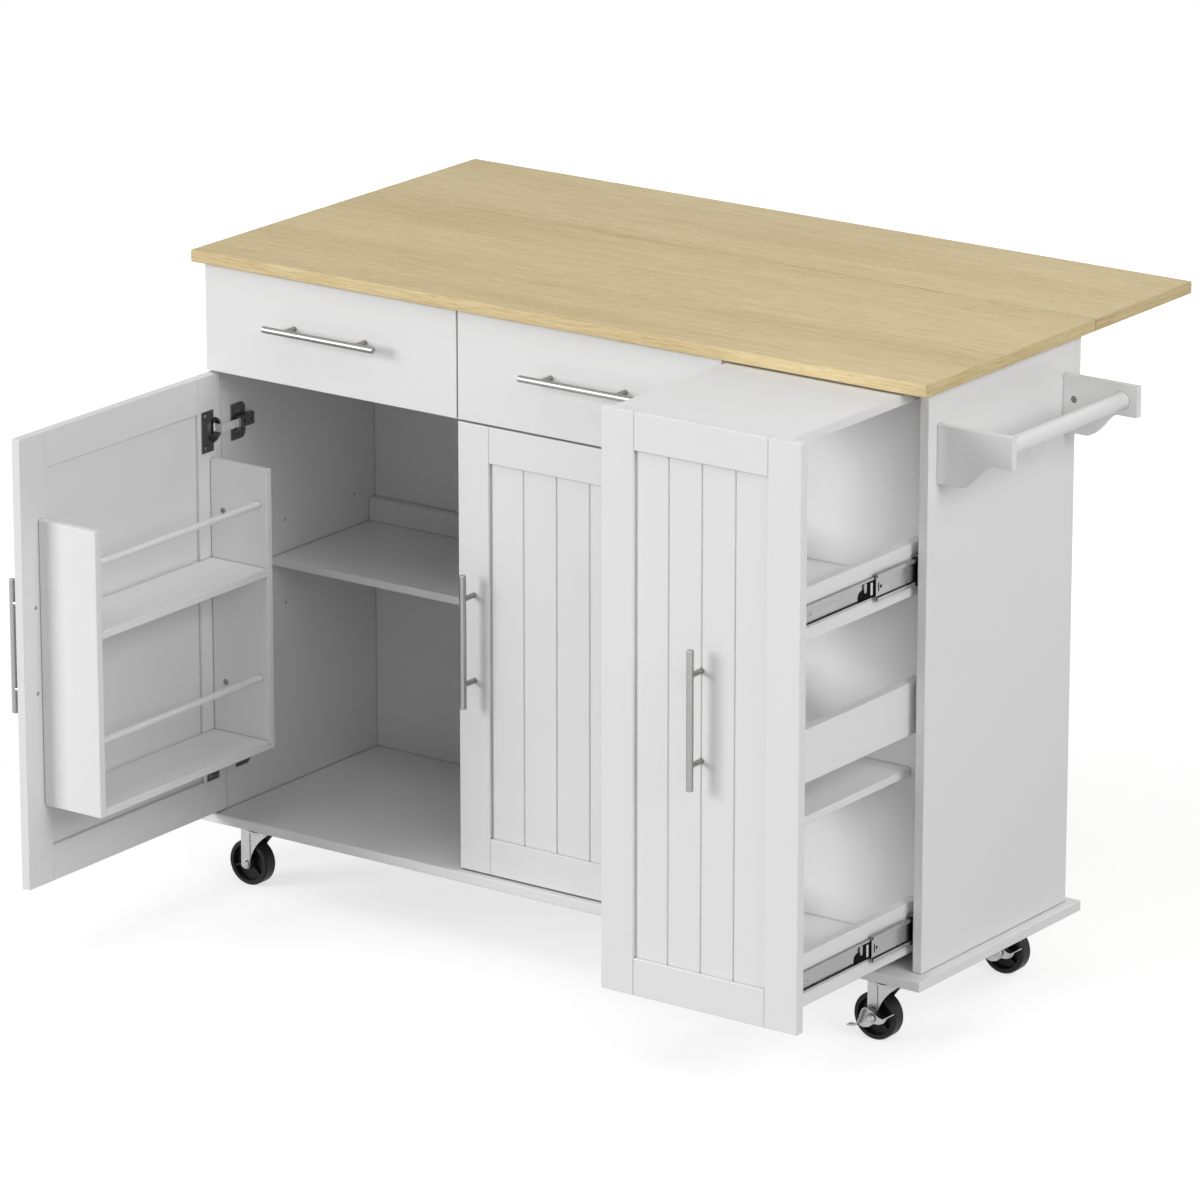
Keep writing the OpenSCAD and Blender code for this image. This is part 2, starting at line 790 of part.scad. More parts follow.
// The middle member runs between the other two, its web in the slide's middle. Its flanges are
// turned in towards the cabinet
module middle_member() {
    web_x = slide_w / 2 - slide_t / 2;
    flange = 7;
    ball_cages(inner_h, web_x + 2.9, cage_mid);
    difference() {
        translate([web_x - 3, 0, 0]) union() {
            for (s = [-1, 1]) translate([0, 0, s * (middle_h - slide_t) / 2 - slide_t / 2])
                cube([flange, slide_len, slide_t]);
            for (z = [-middle_h / 2, middle_h / 2 - middle_lip])
                translate([0, 0, z]) cube([slide_t, slide_len, middle_lip]);
            translate([3, 0, -middle_h / 2]) cube([slide_t, slide_len, middle_h]);
        }
        translate([web_x - eps, 12, 0]) rod_x(2.5, slide_t + 2 * eps);
        translate([web_x - eps, 5, -6]) cube([slide_t + 2 * eps, 3, 12]);
    }
}

middle_lip = 5;          // height of the middle members' turned-in flanges
inner_lip = 2.8;         // height of the inner members' lips

// The inner member, with its web against the drawer and its flanges towards the cabinet
module inner_member(h, reach) {
    translate([slide_w, 0, 0]) mirror([1, 0, 0]) difference() {
        channel(h, reach, inner_lip);
        for (y = [40, slide_len - 40]) translate([-eps, y, 0]) rod_x(2.2, slide_t + 2 * eps);
    }
}

// Puts a slide member, drawn from the cabinet's face at x = 0, on a face on each side of an opening
module slide_pair(left_x, right_x, z, drawn = 0) {
    for (side = [0, 1])
        placed() translate([side == 0 ? left_x : right_x, slide_y - drawn, z])
            mirror([side, 0, 0]) children();
}

// ---------------------------------------------------------------- drawers

tenon_t = 4;             // thickness of the tongues that join boards

drawer_slide_z = box_z + box_h / 2;
drawer_inner_reach = slide_w - slide_t - 2.5;

module drawer_slide_outers() {
    color(steel) {
        slide_pair(in_l, divider_l, drawer_slide_z) outer_member(cage_short);
        slide_pair(divider_r, partition_l, drawer_slide_z) outer_member(cage_short);
    }
}

module left_drawer_slide_inners() {
    color(steel) slide_pair(in_l, divider_l, drawer_slide_z)
        inner_member(middle_h, drawer_inner_reach);
}

module right_drawer_slide_inners() {
    color(steel) slide_pair(divider_r, partition_l, drawer_slide_z)
        inner_member(middle_h, drawer_inner_reach);
}

// Two sides and a back, with a thin bottom in grooves. The opening runs from left_x to right_x
module drawer_box(left_x, right_x) {
    box_l = left_x + slide_w;
    box_r = right_x - slide_w;
    floor_z = box_z + 8;
    held = box_t / 2;
    difference() {
        union() {
            for (x = [box_l, box_r - box_t])
                board([x, front_back, box_z], [box_t, box_d, box_h]);
            board([box_l + box_t, front_back + box_d - box_t, box_z],
                  [box_r - box_l - 2 * box_t, box_t, box_h]);
            // The back's tongues in the sides
            translate([box_l + held, front_back + box_d - box_t / 2 - tenon_t / 2, box_z + 20])
                cube([box_r - box_l - 2 * held, tenon_t, box_h - 40]);
        }
        translate([box_l + held, front_back - eps, floor_z])
            cube([box_r - box_l - 2 * held, box_d - held + eps, box_floor_t]);
    }
    translate([box_l + held + panel_fit, front_back, floor_z])
        cube([box_r - box_l - 2 * held - 2 * panel_fit, box_d - held - panel_fit, box_floor_t]);
}

module drawer_front(x) {
    board([x, front_y, drawer_z], [door_w, front_t, drawer_h]);
}

module drawer_handle(x) {
    translate([x + door_w / 2, front_y, drawer_z + drawer_handle_z]) rotate([0, 90, 0]) bar_handle();
}

module left_drawer_front() {
    color(white) placed() drawer_front(front_l);
}

module left_drawer_box() {
    color(white) placed() drawer_box(in_l, divider_l);
}

module left_drawer_handle() {
    color(steel) placed() drawer_handle(front_l);
}

module right_drawer_front() {
    color(white) placed() drawer_front(door2_l);
}

module right_drawer_box() {
    color(white) placed() drawer_box(divider_r, partition_l);
}

module right_drawer_handle() {
    color(steel) placed() drawer_handle(door2_l);
}

// ---------------------------------------------------------------- pull-out

tray_l = partition_r + slide_w;
tray_r = in_r - slide_w;
tray_w = tray_r - tray_l;
rail_zs = [rail_low, rail_mid, rail_up];
slide_zs = [door_z + rail_low + rail_h / 2, door_z + rail_up + rail_h / 2];

// Draws a shape that is made for the closed pull-out where the pull-out stands
module on_pullout() {
    placed() translate([0, -pull_open, 0]) children();
}

module pullout_front_frame() {
    color(white) on_pullout() translate([pull_l, front_y, door_z]) frame(pull_w, pull_h);
}

module pullout_front_panel() {
    color(white) on_pullout() translate([pull_l, front_y, door_z])
        bead_panel(pull_w, pull_h, pull_boards);
}

// The top, the back, a floor on the lowest and on the upper rails, and the shelf
module pullout_boards() {
    inside = tray_w - 2 * panel_t;
    color(white) on_pullout() {
        board([tray_l, front_back, fronts_top - panel_t], [tray_w, tray_d + panel_t, panel_t]);
        board([tray_l, tray_back, door_z + rail_low],
              [tray_w, panel_t, pull_h - rail_low - panel_t]);
        // The back's tongue in the top, and the boards' tongues in the back
        translate([tray_l + panel_t, tray_back + panel_t / 2 - tenon_t / 2, fronts_top - 2 * panel_t])
            cube([inside, tenon_t, 1.5 * panel_t]);
        for (z = [rail_low, tray_shelf_z, rail_up])
            translate([tray_l + 2 * panel_t, tray_back - panel_t, door_z + z + tenon_t])
                cube([inside - 2 * panel_t, 1.5 * panel_t, tenon_t]);
        for (z = [rail_low, rail_up])
            board([tray_l + panel_t, front_back, door_z + z], [inside, tray_d, panel_t]);
        board([tray_l + panel_t, front_back, door_z + tray_shelf_z],
              [inside, tray_d, tray_shelf_t]);
    }
}

// Three rails on each side, between the front and the back
module pullout_rails() {
    color(white) on_pullout() for (z = rail_zs, x = [tray_l, tray_r - panel_t])
        board([x, front_back, door_z + z], [panel_t, tray_d, rail_h]);
}

module pullout_handle() {
    color(steel) on_pullout()
        translate([pull_l + pull_w / 2, front_y + panel_recess, pull_handle_z]) bar_handle();
}

module pullout_slide_outers() {
    color(steel) for (z = slide_zs) slide_pair(partition_r, in_r, z) outer_member(cage_long);
}

module pullout_slide_middles() {
    color(steel) for (z = slide_zs)
        slide_pair(partition_r, in_r, z, pull_open * mid_share) middle_member();
}

module pullout_slide_inners() {
    color(steel) for (z = slide_zs)
        slide_pair(partition_r, in_r, z, pull_open) inner_member(inner_h, slide_w / 2 - 1.4);
}

// ---------------------------------------------------------------- towel rack

towel_z = under_top - towel_drop;
towel_y = carcass_y + towel_in;
towel_rod_z = towel_z - towel_end_h / 2;
towel_span = carcass_d - towel_in - towel_back_in - towel_t;
towel_ys = [towel_y, towel_y + towel_span];

// The bracket's outline: a long top, a square end, and an S curve down to the toe at the side
module towel_bracket_outline() {
    drop = towel_h - towel_end_h;
    curve = towel_reach - towel_toe - towel_end_flat;
    polygon(concat(
        [[0, 0], [0, -towel_h], [towel_toe, -towel_h]],
        [for (i = [1:11]) let (u = i / 12)
            [towel_toe + curve * u, -towel_h + drop * (1 - cos(180 * u)) / 2]],
        [[towel_reach - towel_end_flat, -towel_end_h], [towel_reach, -towel_end_h], [towel_reach, 0]]));
}

towel_end_flat = 30;     // straight stretch at the end of a bracket's lower edge
towel_bolt_in = 18;      // distance from the side panel to a bracket's barrel nut
towel_bolt_z = -34;      // height of the bolts, from the brackets' upper edges
towel_skin = 2;          // wood left at the outer end of a barrel nut's hole

module towel_brackets() {
    color(white) placed() for (y = towel_ys) translate([side_r, y, towel_z]) difference() {
        xz_plate(towel_t) towel_bracket_outline();
        translate([towel_reach - towel_rod_in, y == towel_y ? towel_t / 2 : -eps, -towel_end_h / 2])
            rod_y(towel_rod_d / 2, towel_t / 2 + eps);
        translate([towel_bolt_in, y == towel_y ? towel_skin : -eps, towel_bolt_z])
            rod_y(5, towel_t - towel_skin + eps);
    }
}

module towel_rod() {
    color(white) placed()
        translate([side_r + towel_reach - towel_rod_in, towel_y + towel_t / 2, towel_rod_z])
            rod_y(towel_rod_d / 2, towel_span);
}

// Clearance holes in the side panel for the bolts that pull the brackets on
module towel_bolt_holes() {
    for (y = towel_ys)
        translate([in_r - eps, y + towel_t / 2, towel_z + towel_bolt_z])
            rod_x(3, panel_t + 2 * eps);
}

// ---------------------------------------------------------------- folding leaf stays

stay_y = leaf_rail_back + stay_out;         // the pivot on which the leaf turns
stay_z = under_top - stay_down;
layer = stay_t + 0.4;                       // pitch of the flat pieces across a stay
wall_pin = [-1, -stay_arm];                 // lower link's pivot, from the main pivot
leaf_pin = [stay_arm, 2];                   // upper link's pivot, from the main pivot
ear_r = 7;

// Draws a piece at both stays. Each is drawn from its pivot's middle; the right one is mirrored
module at_stays() {
    placed() {
        translate([stay_inset, stay_y, stay_z]) children();
        translate([top_w - stay_inset, stay_y, stay_z]) mirror([1, 0, 0]) children();
    }
}

// An angle on the back board, with the pins of the main pivot and of the lower link
module leaf_stay_wall_legs() {
    low = -stay_arm - 15;
    color(steel) at_stays() {
        difference() {
            translate([-22, -stay_out, low]) cube([22 + stay_t, stay_t, -low + ear_r]);
            for (z = [low + 15, -20]) translate([-11, -stay_out - eps, z]) rod_y(2.5, 2 * stay_t);
        }
        yz_plate(stay_t) polygon([[-stay_out, low], [2, low], [5, low + 4], [5, -stay_arm + 8],
                                  [-stay_out + stay_t, -stay_arm + 28], [-stay_out + stay_t, -32],
                                  [ear_r - 2, -8], [ear_r, -4], [ear_r, 3], [3, ear_r],
                                  [-stay_out, ear_r]]);
        rod_x(stay_pin_r + 0.5, 4 * layer + 1);
        translate([3 * layer + stay_t + seat, 0, 0]) rod_x(ear_r - 1, 1.5);
        translate([0, wall_pin.x, wall_pin.y]) rod_x(stay_pin_r, layer + stay_t);
    }
}

// An angle under the leaf, with its ear round the main pivot and the upper link's pin
module leaf_stay_top_legs() {
    start = leaf_y - stay_y + 4;
    color(steel) at_stays() {
        translate([3 * layer, start, stay_down - stay_t]) difference() {
            cube([24, stay_flange, stay_t]);
            for (y = [15, stay_flange / 2, stay_flange - 15])
                translate([14, y, -eps]) cylinder(r = 2.5, h = 2 * stay_t);
        }
        difference() {
            translate([3 * layer, 0, 0]) yz_plate(stay_t) polygon([
                [-ear_r, 0], [-5, -5], [0, -ear_r], [20, -5], [stay_arm + 15, -5],
                [start + stay_flange - 8, stay_down - stay_t], [start + stay_flange - 8, stay_down - eps],
                [start, stay_down - eps], [start, stay_down - 3], [2, ear_r], [-5, 5]]);
            translate([3 * layer - eps, 0, 0]) rod_x(stay_pin_r + 0.5 + fit, stay_t + 2 * eps);
        }
        translate([2 * layer, leaf_pin.x, leaf_pin.y]) rod_x(stay_pin_r, layer + stay_t);
    }
}

// A flat link from point a to point b, with round ends and a bore at a
module link(a, b, layer_no) {
    run = norm(b - a);
    translate([layer_no * layer, a.x, a.y])
        rotate([atan2(b.y - a.y, b.x - a.x), 0, 0]) difference() {
            union() {
                yz_plate(stay_t) {
                    circle(d = link_w);
                    translate([0, -link_w / 2]) square([run, link_w]);
                    translate([run, 0]) circle(d = link_w);
                }
            }
            translate([-eps, 0, 0]) rod_x(stay_pin_r + fit, stay_t + 2 * eps);
        }
}

link_knee = (wall_pin + leaf_pin) / 2;      // where the two links meet when the stay is straight

// The lower link also has the head of the rivet that holds the two links together
module leaf_stay_lower_links() {
    color(steel) at_stays() {
        link(wall_pin, link_knee, 1);
        translate([layer - 1.2, link_knee.x, link_knee.y]) rod_x(4.5, 1.2);
    }
}

module leaf_stay_upper_links() {
    color(steel) at_stays() link(leaf_pin, link_knee, 2);
}

// ---------------------------------------------------------------- casters

plate_thick = 2.5;
crown_t = 3;
crown_top = caster_h - 12;                   // upper face of the fork's crown
leg_t = 2.5;
leg_y = wheel_w / 2 + 1.5;                   // inner faces of the fork's legs
axle_z = wheel_d / 2;
lever_t = 1.5;
king_r = 4;

// Positions of the swivels: front left, front right, back left, back right
caster_at = [for (y = [caster_in_y, base_d - caster_in_y],
                  x = [side_l - base_over + caster_in_x, side_r + base_over - caster_in_x]) [x, y, 0]];

module at_caster(i) {
    placed() translate(caster_at[i]) children();
}

// The plates under the base board, each with a ball race and a king pin
module caster_plates() {
    race_r = 17;
    color(steel) for (i = [0:3]) at_caster(i) {
        difference() {
            board([-30, -26, caster_h - plate_thick], [60, 52, plate_thick], 0.5);
            for (x = [-22, 22], y = [-18, 18])
                translate([x, y, 0]) cylinder(r = 3, h = caster_h + eps);
        }
        rotate_extrude() polygon([
            [0, crown_top - crown_t - 3], [king_r + 3, crown_top - crown_t - 3],
            [king_r + 3, crown_top - crown_t - seat], [king_r, crown_top - crown_t - seat],
            [king_r, crown_top + seat], [race_r - 3, crown_top + seat], [race_r, crown_top + 3],
            [race_r, caster_h - plate_thick], [0, caster_h - plate_thick]]);
    }
}

// Outline of a fork leg in X and Z: a straight front edge and a swept back edge
module fork_leg_outline() {
    half = 8;
    low = [half * cos(20) - trail, axle_z - half * sin(20)];
    sweep = [for (i = [0:10]) let (u = i / 10)
        [low.x + (22 - low.x) * u * u, axle_z + (crown_top - crown_t - axle_z) * u]];
    translate([-trail, axle_z]) circle(r = half);
    polygon(concat([[-trail - half, axle_z], [-trail - half, crown_top], [22, crown_top]],
                   [for (i = [10:-1:0]) sweep[i]]));
}

// Outline of the raised strap down each leg, with a round end at the axle
module fork_strap_outline() {
    translate([-trail, axle_z]) circle(r = 8);
    translate([-trail - 8, axle_z]) square([16, crown_top - axle_z]);
}

strap_t = 1.2;               // height of the raised strap on a leg
leg_out = leg_y + leg_t + strap_t;           // outer faces of the straps

// The fork, with its crown, its two legs and the axle bolt. front is the length of bolt at the front
module fork(front) {
    back_end = leg_out + 4;
    difference() {
        union() {
            for (side = [0, 1]) mirror([0, side, 0]) {
                translate([0, -leg_y - leg_t, 0]) xz_plate(leg_t) fork_leg_outline();
                translate([0, -leg_y - leg_t - strap_t, 0]) xz_plate(strap_t + eps) fork_strap_outline();
            }
            translate([-trail - 8, -leg_out, crown_top - crown_t])
                cube([trail + 30, 2 * leg_out, crown_t]);
            translate([0, 0, crown_top - crown_t]) cylinder(r = 20, h = crown_t);
        }
        translate([0, 0, crown_top - crown_t - eps]) cylinder(r = king_r + fit, h = crown_t + 2 * eps);
    }
    translate([-trail, -front - 5, axle_z]) {
        rod_y(axle_r, front + 5 + back_end);
        rotate([-90, 0, 0]) rotate_extrude() polygon([[0, 0], [4, 0.6], [6.5, 2.5], [6.5, 5], [0, 5]]);
        translate([0, front + 5 + back_end - 4, 0]) rod_y(6.5, 4);
    }
}

module plain_fork() {
    fork(leg_out);
}

module braked_fork() {
    fork(leg_out + lever_t + 2 * seat);
}

// A moulded wheel: tread, rim, thin web with ribs, and a hub
module wheel() {
    r = wheel_d / 2;
    half = wheel_w / 2;
    rim = r - 8;
    translate([-trail, 0, axle_z]) rotate([-90, 0, 0]) {
        rotate_extrude() polygon([
            [axle_r + fit, -half - 1], [9, -half - 1], [10, -half + 1], [10, -3], [rim - 1, -3],
            [rim, -half + 2], [rim + 1, -half], [r - 2, -half], [r, -half + 3],
            [r, half - 3], [r - 2, half], [rim + 1, half], [rim, half - 2],
            [rim - 1, 3], [10, 3], [10, half - 1], [9, half + 1], [axle_r + fit, half + 1]]);
        for (i = [0:2]) rotate([0, 0, 120 * i + 40])
            translate([9.5, -1.5, -half + 3]) cube([rim - 9.5, 3, wheel_w - 6]);
    }
}

// A pressed lever with two wings, which turns on the axle in front of the fork
module brake_lever() {
    front = -leg_out - seat - lever_t;
    wing = 39;
    flange = 9;
    crest = [for (i = [0:16]) let (x = -wing + 2 * wing * i / 16)
        [x, abs(x) < 26 ? -4 + 11 * (1 + cos(180 * x / 26)) : -4 + 0.25 * (abs(x) - 26)]];
    translate([-trail, 0, axle_z]) rotate([0, -lever_tilt, 0]) difference() {
        union() {
            // The upright face round the axle, with two lobes below
            translate([0, front, 0]) xz_plate(lever_t) polygon(concat(
                [for (p = crest) if (abs(p.x) < 27) p],
                [[24, -7], [18, -11], [9, -12], [0, -9], [-9, -12], [-18, -11], [-24, -7]]));
            // The flange that follows the crest out to the wings
            translate([0, front - flange, 0]) xz_plate(flange + lever_t) polygon(concat(
                crest, [for (i = [16:-1:0]) crest[i] + [0, -lever_t]]));
        }
        translate([0, front - flange - eps, 0]) rod_y(axle_r + fit, 2 * flange);
        translate([0, front - flange - eps, 0]) rod_y(7.5, flange + eps);
    }
}

module front_left_fork() {
    color(steel) at_caster(0) plain_fork();
}

module front_right_fork() {
    color(steel) at_caster(1) braked_fork();
}

module back_left_fork() {
    color(steel) at_caster(2) plain_fork();
}

module back_right_fork() {
    color(steel) at_caster(3) braked_fork();
}

module front_left_wheel() {
    color(black) at_caster(0) wheel();
}

module front_right_wheel() {
    color(black) at_caster(1) wheel();
}

module back_left_wheel() {
    color(black) at_caster(2) wheel();
}

module back_right_wheel() {
    color(black) at_caster(3) wheel();
}

module front_right_brake() {
    color(steel) at_caster(1) brake_lever();
}

module back_right_brake() {
    color(steel) at_caster(3) brake_lever();
}

worktop();
left_side_panel();
right_side_panel();
base_board();
partition();
drawer_divider();
drawer_deck();
back_panel();
back_rails();
shelf();
shelf_pins();
drawer_slide_outers();
pullout_slide_outers();
hinge_plates();
hinge_arms();
hinge_bodies();
towel_brackets();
towel_rod();
leaf_stay_wall_legs();
caster_plates();
drop_leaf();
leaf_stay_top_legs();
leaf_stay_lower_links();
leaf_stay_upper_links();
left_door_frame();
left_door_panel();
left_door_handle();
left_hinge_cups();
spice_rack_sides();
spice_rack_shelves();
spice_rack_rods();
right_door_frame();
right_door_panel();
right_door_handle();
right_hinge_cups();
left_drawer_front();
left_drawer_box();
left_drawer_handle();
left_drawer_slide_inners();
right_drawer_front();
right_drawer_box();
right_drawer_handle();
right_drawer_slide_inners();
pullout_front_frame();
pullout_front_panel();
pullout_boards();
pullout_rails();
pullout_handle();
pullout_slide_middles();
pullout_slide_inners();
front_left_fork();
front_left_wheel();
front_right_fork();
front_right_wheel();
front_right_brake();
back_left_fork();
back_left_wheel();
back_right_fork();
back_right_wheel();
back_right_brake();
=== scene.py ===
import math
import bmesh
import bpy
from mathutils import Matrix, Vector


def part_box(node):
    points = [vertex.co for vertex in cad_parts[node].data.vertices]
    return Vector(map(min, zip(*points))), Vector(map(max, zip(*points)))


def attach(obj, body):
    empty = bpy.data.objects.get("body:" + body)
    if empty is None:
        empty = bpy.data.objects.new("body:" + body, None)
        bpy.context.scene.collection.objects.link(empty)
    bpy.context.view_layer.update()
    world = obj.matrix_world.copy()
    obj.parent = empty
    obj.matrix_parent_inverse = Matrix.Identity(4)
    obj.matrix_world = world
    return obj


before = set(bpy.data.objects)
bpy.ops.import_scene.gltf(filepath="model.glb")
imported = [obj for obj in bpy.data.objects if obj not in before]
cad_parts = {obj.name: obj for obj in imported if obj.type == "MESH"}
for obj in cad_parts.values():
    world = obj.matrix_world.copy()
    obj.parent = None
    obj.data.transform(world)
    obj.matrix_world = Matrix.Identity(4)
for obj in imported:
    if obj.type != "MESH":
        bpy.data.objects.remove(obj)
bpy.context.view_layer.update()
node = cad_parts

# ---------------------------------------------------------------- camera
# A long lens from the front right, a little above the worktop, which takes in
# the whole island in a square picture.

PHOTO_PX = 1200                             # side of the photograph
FOCAL_PX = 7127.43                          # the lens's focal length in the photograph's pixels
SENSOR_MM = 36
CAMERA_PLACE = (5.6316, -7.9016, 3.5203)    # in m, as are all sizes and places that name no unit
LOOK_DOWN = 0.299                           # in radians, from level
LOOK_LEFT = 0.623                           # in radians, from straight at the fronts

camera_data = bpy.data.cameras.new("camera")
camera_data.sensor_width = SENSOR_MM
camera_data.lens = FOCAL_PX / PHOTO_PX * SENSOR_MM
camera_data.clip_end = 100
camera = bpy.data.objects.new("camera", camera_data)
camera.location = CAMERA_PLACE
camera.rotation_euler = (math.pi / 2 - LOOK_DOWN, 0, LOOK_LEFT)
bpy.context.collection.objects.link(camera)
bpy.context.scene.camera = camera
bpy.context.scene.view_settings.view_transform = "Standard"

# ---------------------------------------------------------------- studio
# A pale floor that fades into a white surround, which the metal parts mirror. A far lamp from the
# left, two from the right and one above the front leave the cupboard in soft shade. One more
# lights the back.

FLOOR_HALF = 4               # half of the floor's side
FADE_FROM, FADE_TO = 1.1, 3.4    # where the floor starts to turn white, and where it is white
FLOOR_LIFT = 0.64            # how much light is added to the floor under the island
SURROUND_LIGHT = 0.19        # strength of the surround as a lamp; seen or mirrored it is 1
LAMP_AIM = (0, 0, 0.5)       # the middle of the island

floor_mesh = bpy.data.meshes.new("studio_floor")
floor_mesh.from_pydata([(-FLOOR_HALF, -FLOOR_HALF, 0), (FLOOR_HALF, -FLOOR_HALF, 0),
                        (FLOOR_HALF, FLOOR_HALF, 0), (-FLOOR_HALF, FLOOR_HALF, 0)], [], [(0, 1, 2, 3)])
floor = bpy.data.objects.new("studio_floor", floor_mesh)
bpy.context.collection.objects.link(floor)


def fresh_material(name):
    """A material with only its output and an empty Principled shader, its tree and that shader."""
    made = bpy.data.materials.new(name)
    made.use_nodes = True
    return made, made.node_tree, made.node_tree.nodes["Principled BSDF"]


def put(tree, kind, values=None, **settings):
    """A node of that kind. values holds what its inputs start with, and settings its properties."""
    made = tree.nodes.new(kind)
    for name, value in settings.items():
        setattr(made, name, value)
    for name, value in (values or {}).items():
        made.inputs[name].default_value = value
    return made


def wire(tree, *pairs):
    """Links pairs of an output and an input."""
    for source, target in pairs:
        tree.links.new(source, target)


def ranged(tree, low, high, to_low=0, to_high=1, **settings):
    """A node that takes low to to_low and high to to_high, and holds what lies beyond them."""
    return put(tree, "ShaderNodeMapRange", {"From Min": low, "From Max": high, "To Min": to_low,
                                            "To Max": to_high}, **settings)


def seen_straight(tree):
    """1 for rays from the camera and for mirrored and bent ones, and otherwise 0."""
    ray = put(tree, "ShaderNodeLightPath")
    first = put(tree, "ShaderNodeMath", operation="MAXIMUM")
    second = put(tree, "ShaderNodeMath", operation="MAXIMUM")
    wire(tree,
         (ray.outputs["Is Camera Ray"], first.inputs[0]),
         (ray.outputs["Is Glossy Ray"], first.inputs[1]),
         (first.outputs[0], second.inputs[0]),
         (ray.outputs["Is Transmission Ray"], second.inputs[1]))
    return second.outputs[0]


floor_paint, tree, shader = fresh_material("studio_floor")
shader.inputs["Base Color"].default_value = (0.50, 0.50, 0.50, 1)
shader.inputs["Roughness"].default_value = 0.9
glow = put(tree, "ShaderNodeEmission")
lift = put(tree, "ShaderNodeMath", operation="MULTIPLY")
both = put(tree, "ShaderNodeAddShader")
# The floor turns into the white surround well before its own edge
place = put(tree, "ShaderNodeTexCoord")
away = put(tree, "ShaderNodeVectorMath", operation="LENGTH")
fade = ranged(tree, FADE_FROM, FADE_TO, FLOOR_LIFT, 1, interpolation_type="SMOOTHSTEP")
wire(tree,
     (place.outputs["Object"], away.inputs[0]), (away.outputs["Value"], fade.inputs["Value"]),
     (seen_straight(tree), lift.inputs[0]), (fade.outputs["Result"], lift.inputs[1]),
     (lift.outputs[0], glow.inputs["Strength"]),
     (shader.outputs[0], both.inputs[0]), (glow.outputs[0], both.inputs[1]),
     (both.outputs[0], tree.nodes["Material Output"].inputs["Surface"]))
floor_mesh.materials.append(floor_paint)

world = bpy.data.worlds.new("surround")
world.use_nodes = True
bpy.context.scene.world = world
tree = world.node_tree
dim = tree.nodes["Background"]
dim.inputs["Color"].default_value = (1, 1, 1, 1)
dim.inputs["Strength"].default_value = SURROUND_LIGHT
white = put(tree, "ShaderNodeBackground", {"Color": (1, 1, 1, 1), "Strength": 1})
pick = put(tree, "ShaderNodeMixShader")
wire(tree,
     (seen_straight(tree), pick.inputs[0]), (dim.outputs[0], pick.inputs[1]),
     (white.outputs[0], pick.inputs[2]),
     (pick.outputs[0], tree.nodes["World Output"].inputs["Surface"]))


def soft_lamp(name, place, side, power):
    """A square lamp that faces the island. Its place and side are in m and its power in watts."""
    data = bpy.data.lights.new(name, "AREA")
    data.shape = "SQUARE"
    data.size = side
    data.energy = power
    lamp = bpy.data.objects.new(name, data)
    lamp.location = place
    lamp.rotation_euler = (Vector(LAMP_AIM) - Vector(place)).to_track_quat("-Z", "Y").to_euler()
    bpy.context.collection.objects.link(lamp)


soft_lamp("key_lamp", (-7.1, -9.3, 3.9), side=5.5, power=930)
soft_lamp("side_lamp", (5.5, -1.2, 3.6), side=3.0, power=155)
soft_lamp("corner_lamp", (4.2, -4.0, 3.6), side=3.0, power=42)
soft_lamp("top_lamp", (0, -1.6, 4.8), side=2.6, power=37)
soft_lamp("back_lamp", (0.5, 8.5, 2.8), side=4.0, power=235)

# ---------------------------------------------------------------- painted boards
# Sides, base, partition, deck, rails and shelf are fibreboard with a satin white film. The film
# shows a faint peel. Its edges are eased with sandpaper, and rubbed a little thin there.

WHITE_BOARDS = [
    "left_side_panel", "right_side_panel", "base_board", "partition", "drawer_divider",
    "drawer_deck", "back_panel", "back_rails", "shelf", "left_drawer_box", "right_drawer_box",
    "pullout_boards", "pullout_rails", "spice_rack_shelves", "spice_rack_sides",
]
# Painted shade: how much the white film is darkened in tight corners and joints
PAINT_CORNER_SHADE = 0.55            # how bright the paint stays in a tight corner


def node_group(name, kind, inputs, outputs):
    """A node group, its input node and its output node.

    Each input is a name, a kind of socket and what it starts with, and each output the first two.
    """
    group = bpy.data.node_groups.new(name, kind)
    for way, sockets in (("INPUT", inputs), ("OUTPUT", outputs)):
        for label, socket_kind, *start in sockets:
            socket = group.interface.new_socket(name=label, in_out=way,
                                                socket_type="NodeSocket" + socket_kind)
            if start:
                socket.default_value = start[0]
    return group, put(group, "NodeGroupInput"), put(group, "NodeGroupOutput")


# Finds the edges of a piece: the normal of a rounded copy turns away from the true one there
eased_edge, take, give = node_group(
    "eased_edge", "ShaderNodeTree",
    [("Radius", "Float", 0.0015), ("Patchiness", "Float", 40.0)],
    [("Edge", "Float"), ("Normal", "Vector")])
round_off = put(eased_edge, "ShaderNodeBevel", samples=4)
surface = put(eased_edge, "ShaderNodeNewGeometry")
turn = put(eased_edge, "ShaderNodeVectorMath", operation="DOT_PRODUCT")
bend = ranged(eased_edge, 0.995, 0.80)
place = put(eased_edge, "ShaderNodeTexCoord")
patches = put(eased_edge, "ShaderNodeTexNoise", {"Detail": 3})
patch_range = ranged(eased_edge, 0.35, 0.65, 0.25)
mask = put(eased_edge, "ShaderNodeMath", operation="MULTIPLY")
wire(eased_edge,
     (take.outputs["Radius"], round_off.inputs["Radius"]),
     (round_off.outputs["Normal"], turn.inputs[0]), (surface.outputs["Normal"], turn.inputs[1]),
     (turn.outputs["Value"], bend.inputs["Value"]),
     (place.outputs["Object"], patches.inputs["Vector"]),
     (take.outputs["Patchiness"], patches.inputs["Scale"]),
     (patches.outputs[0], patch_range.inputs["Value"]),
     (bend.outputs[0], mask.inputs[0]), (patch_range.outputs[0], mask.inputs[1]),
     (mask.outputs[0], give.inputs["Edge"]), (round_off.outputs["Normal"], give.inputs["Normal"]))
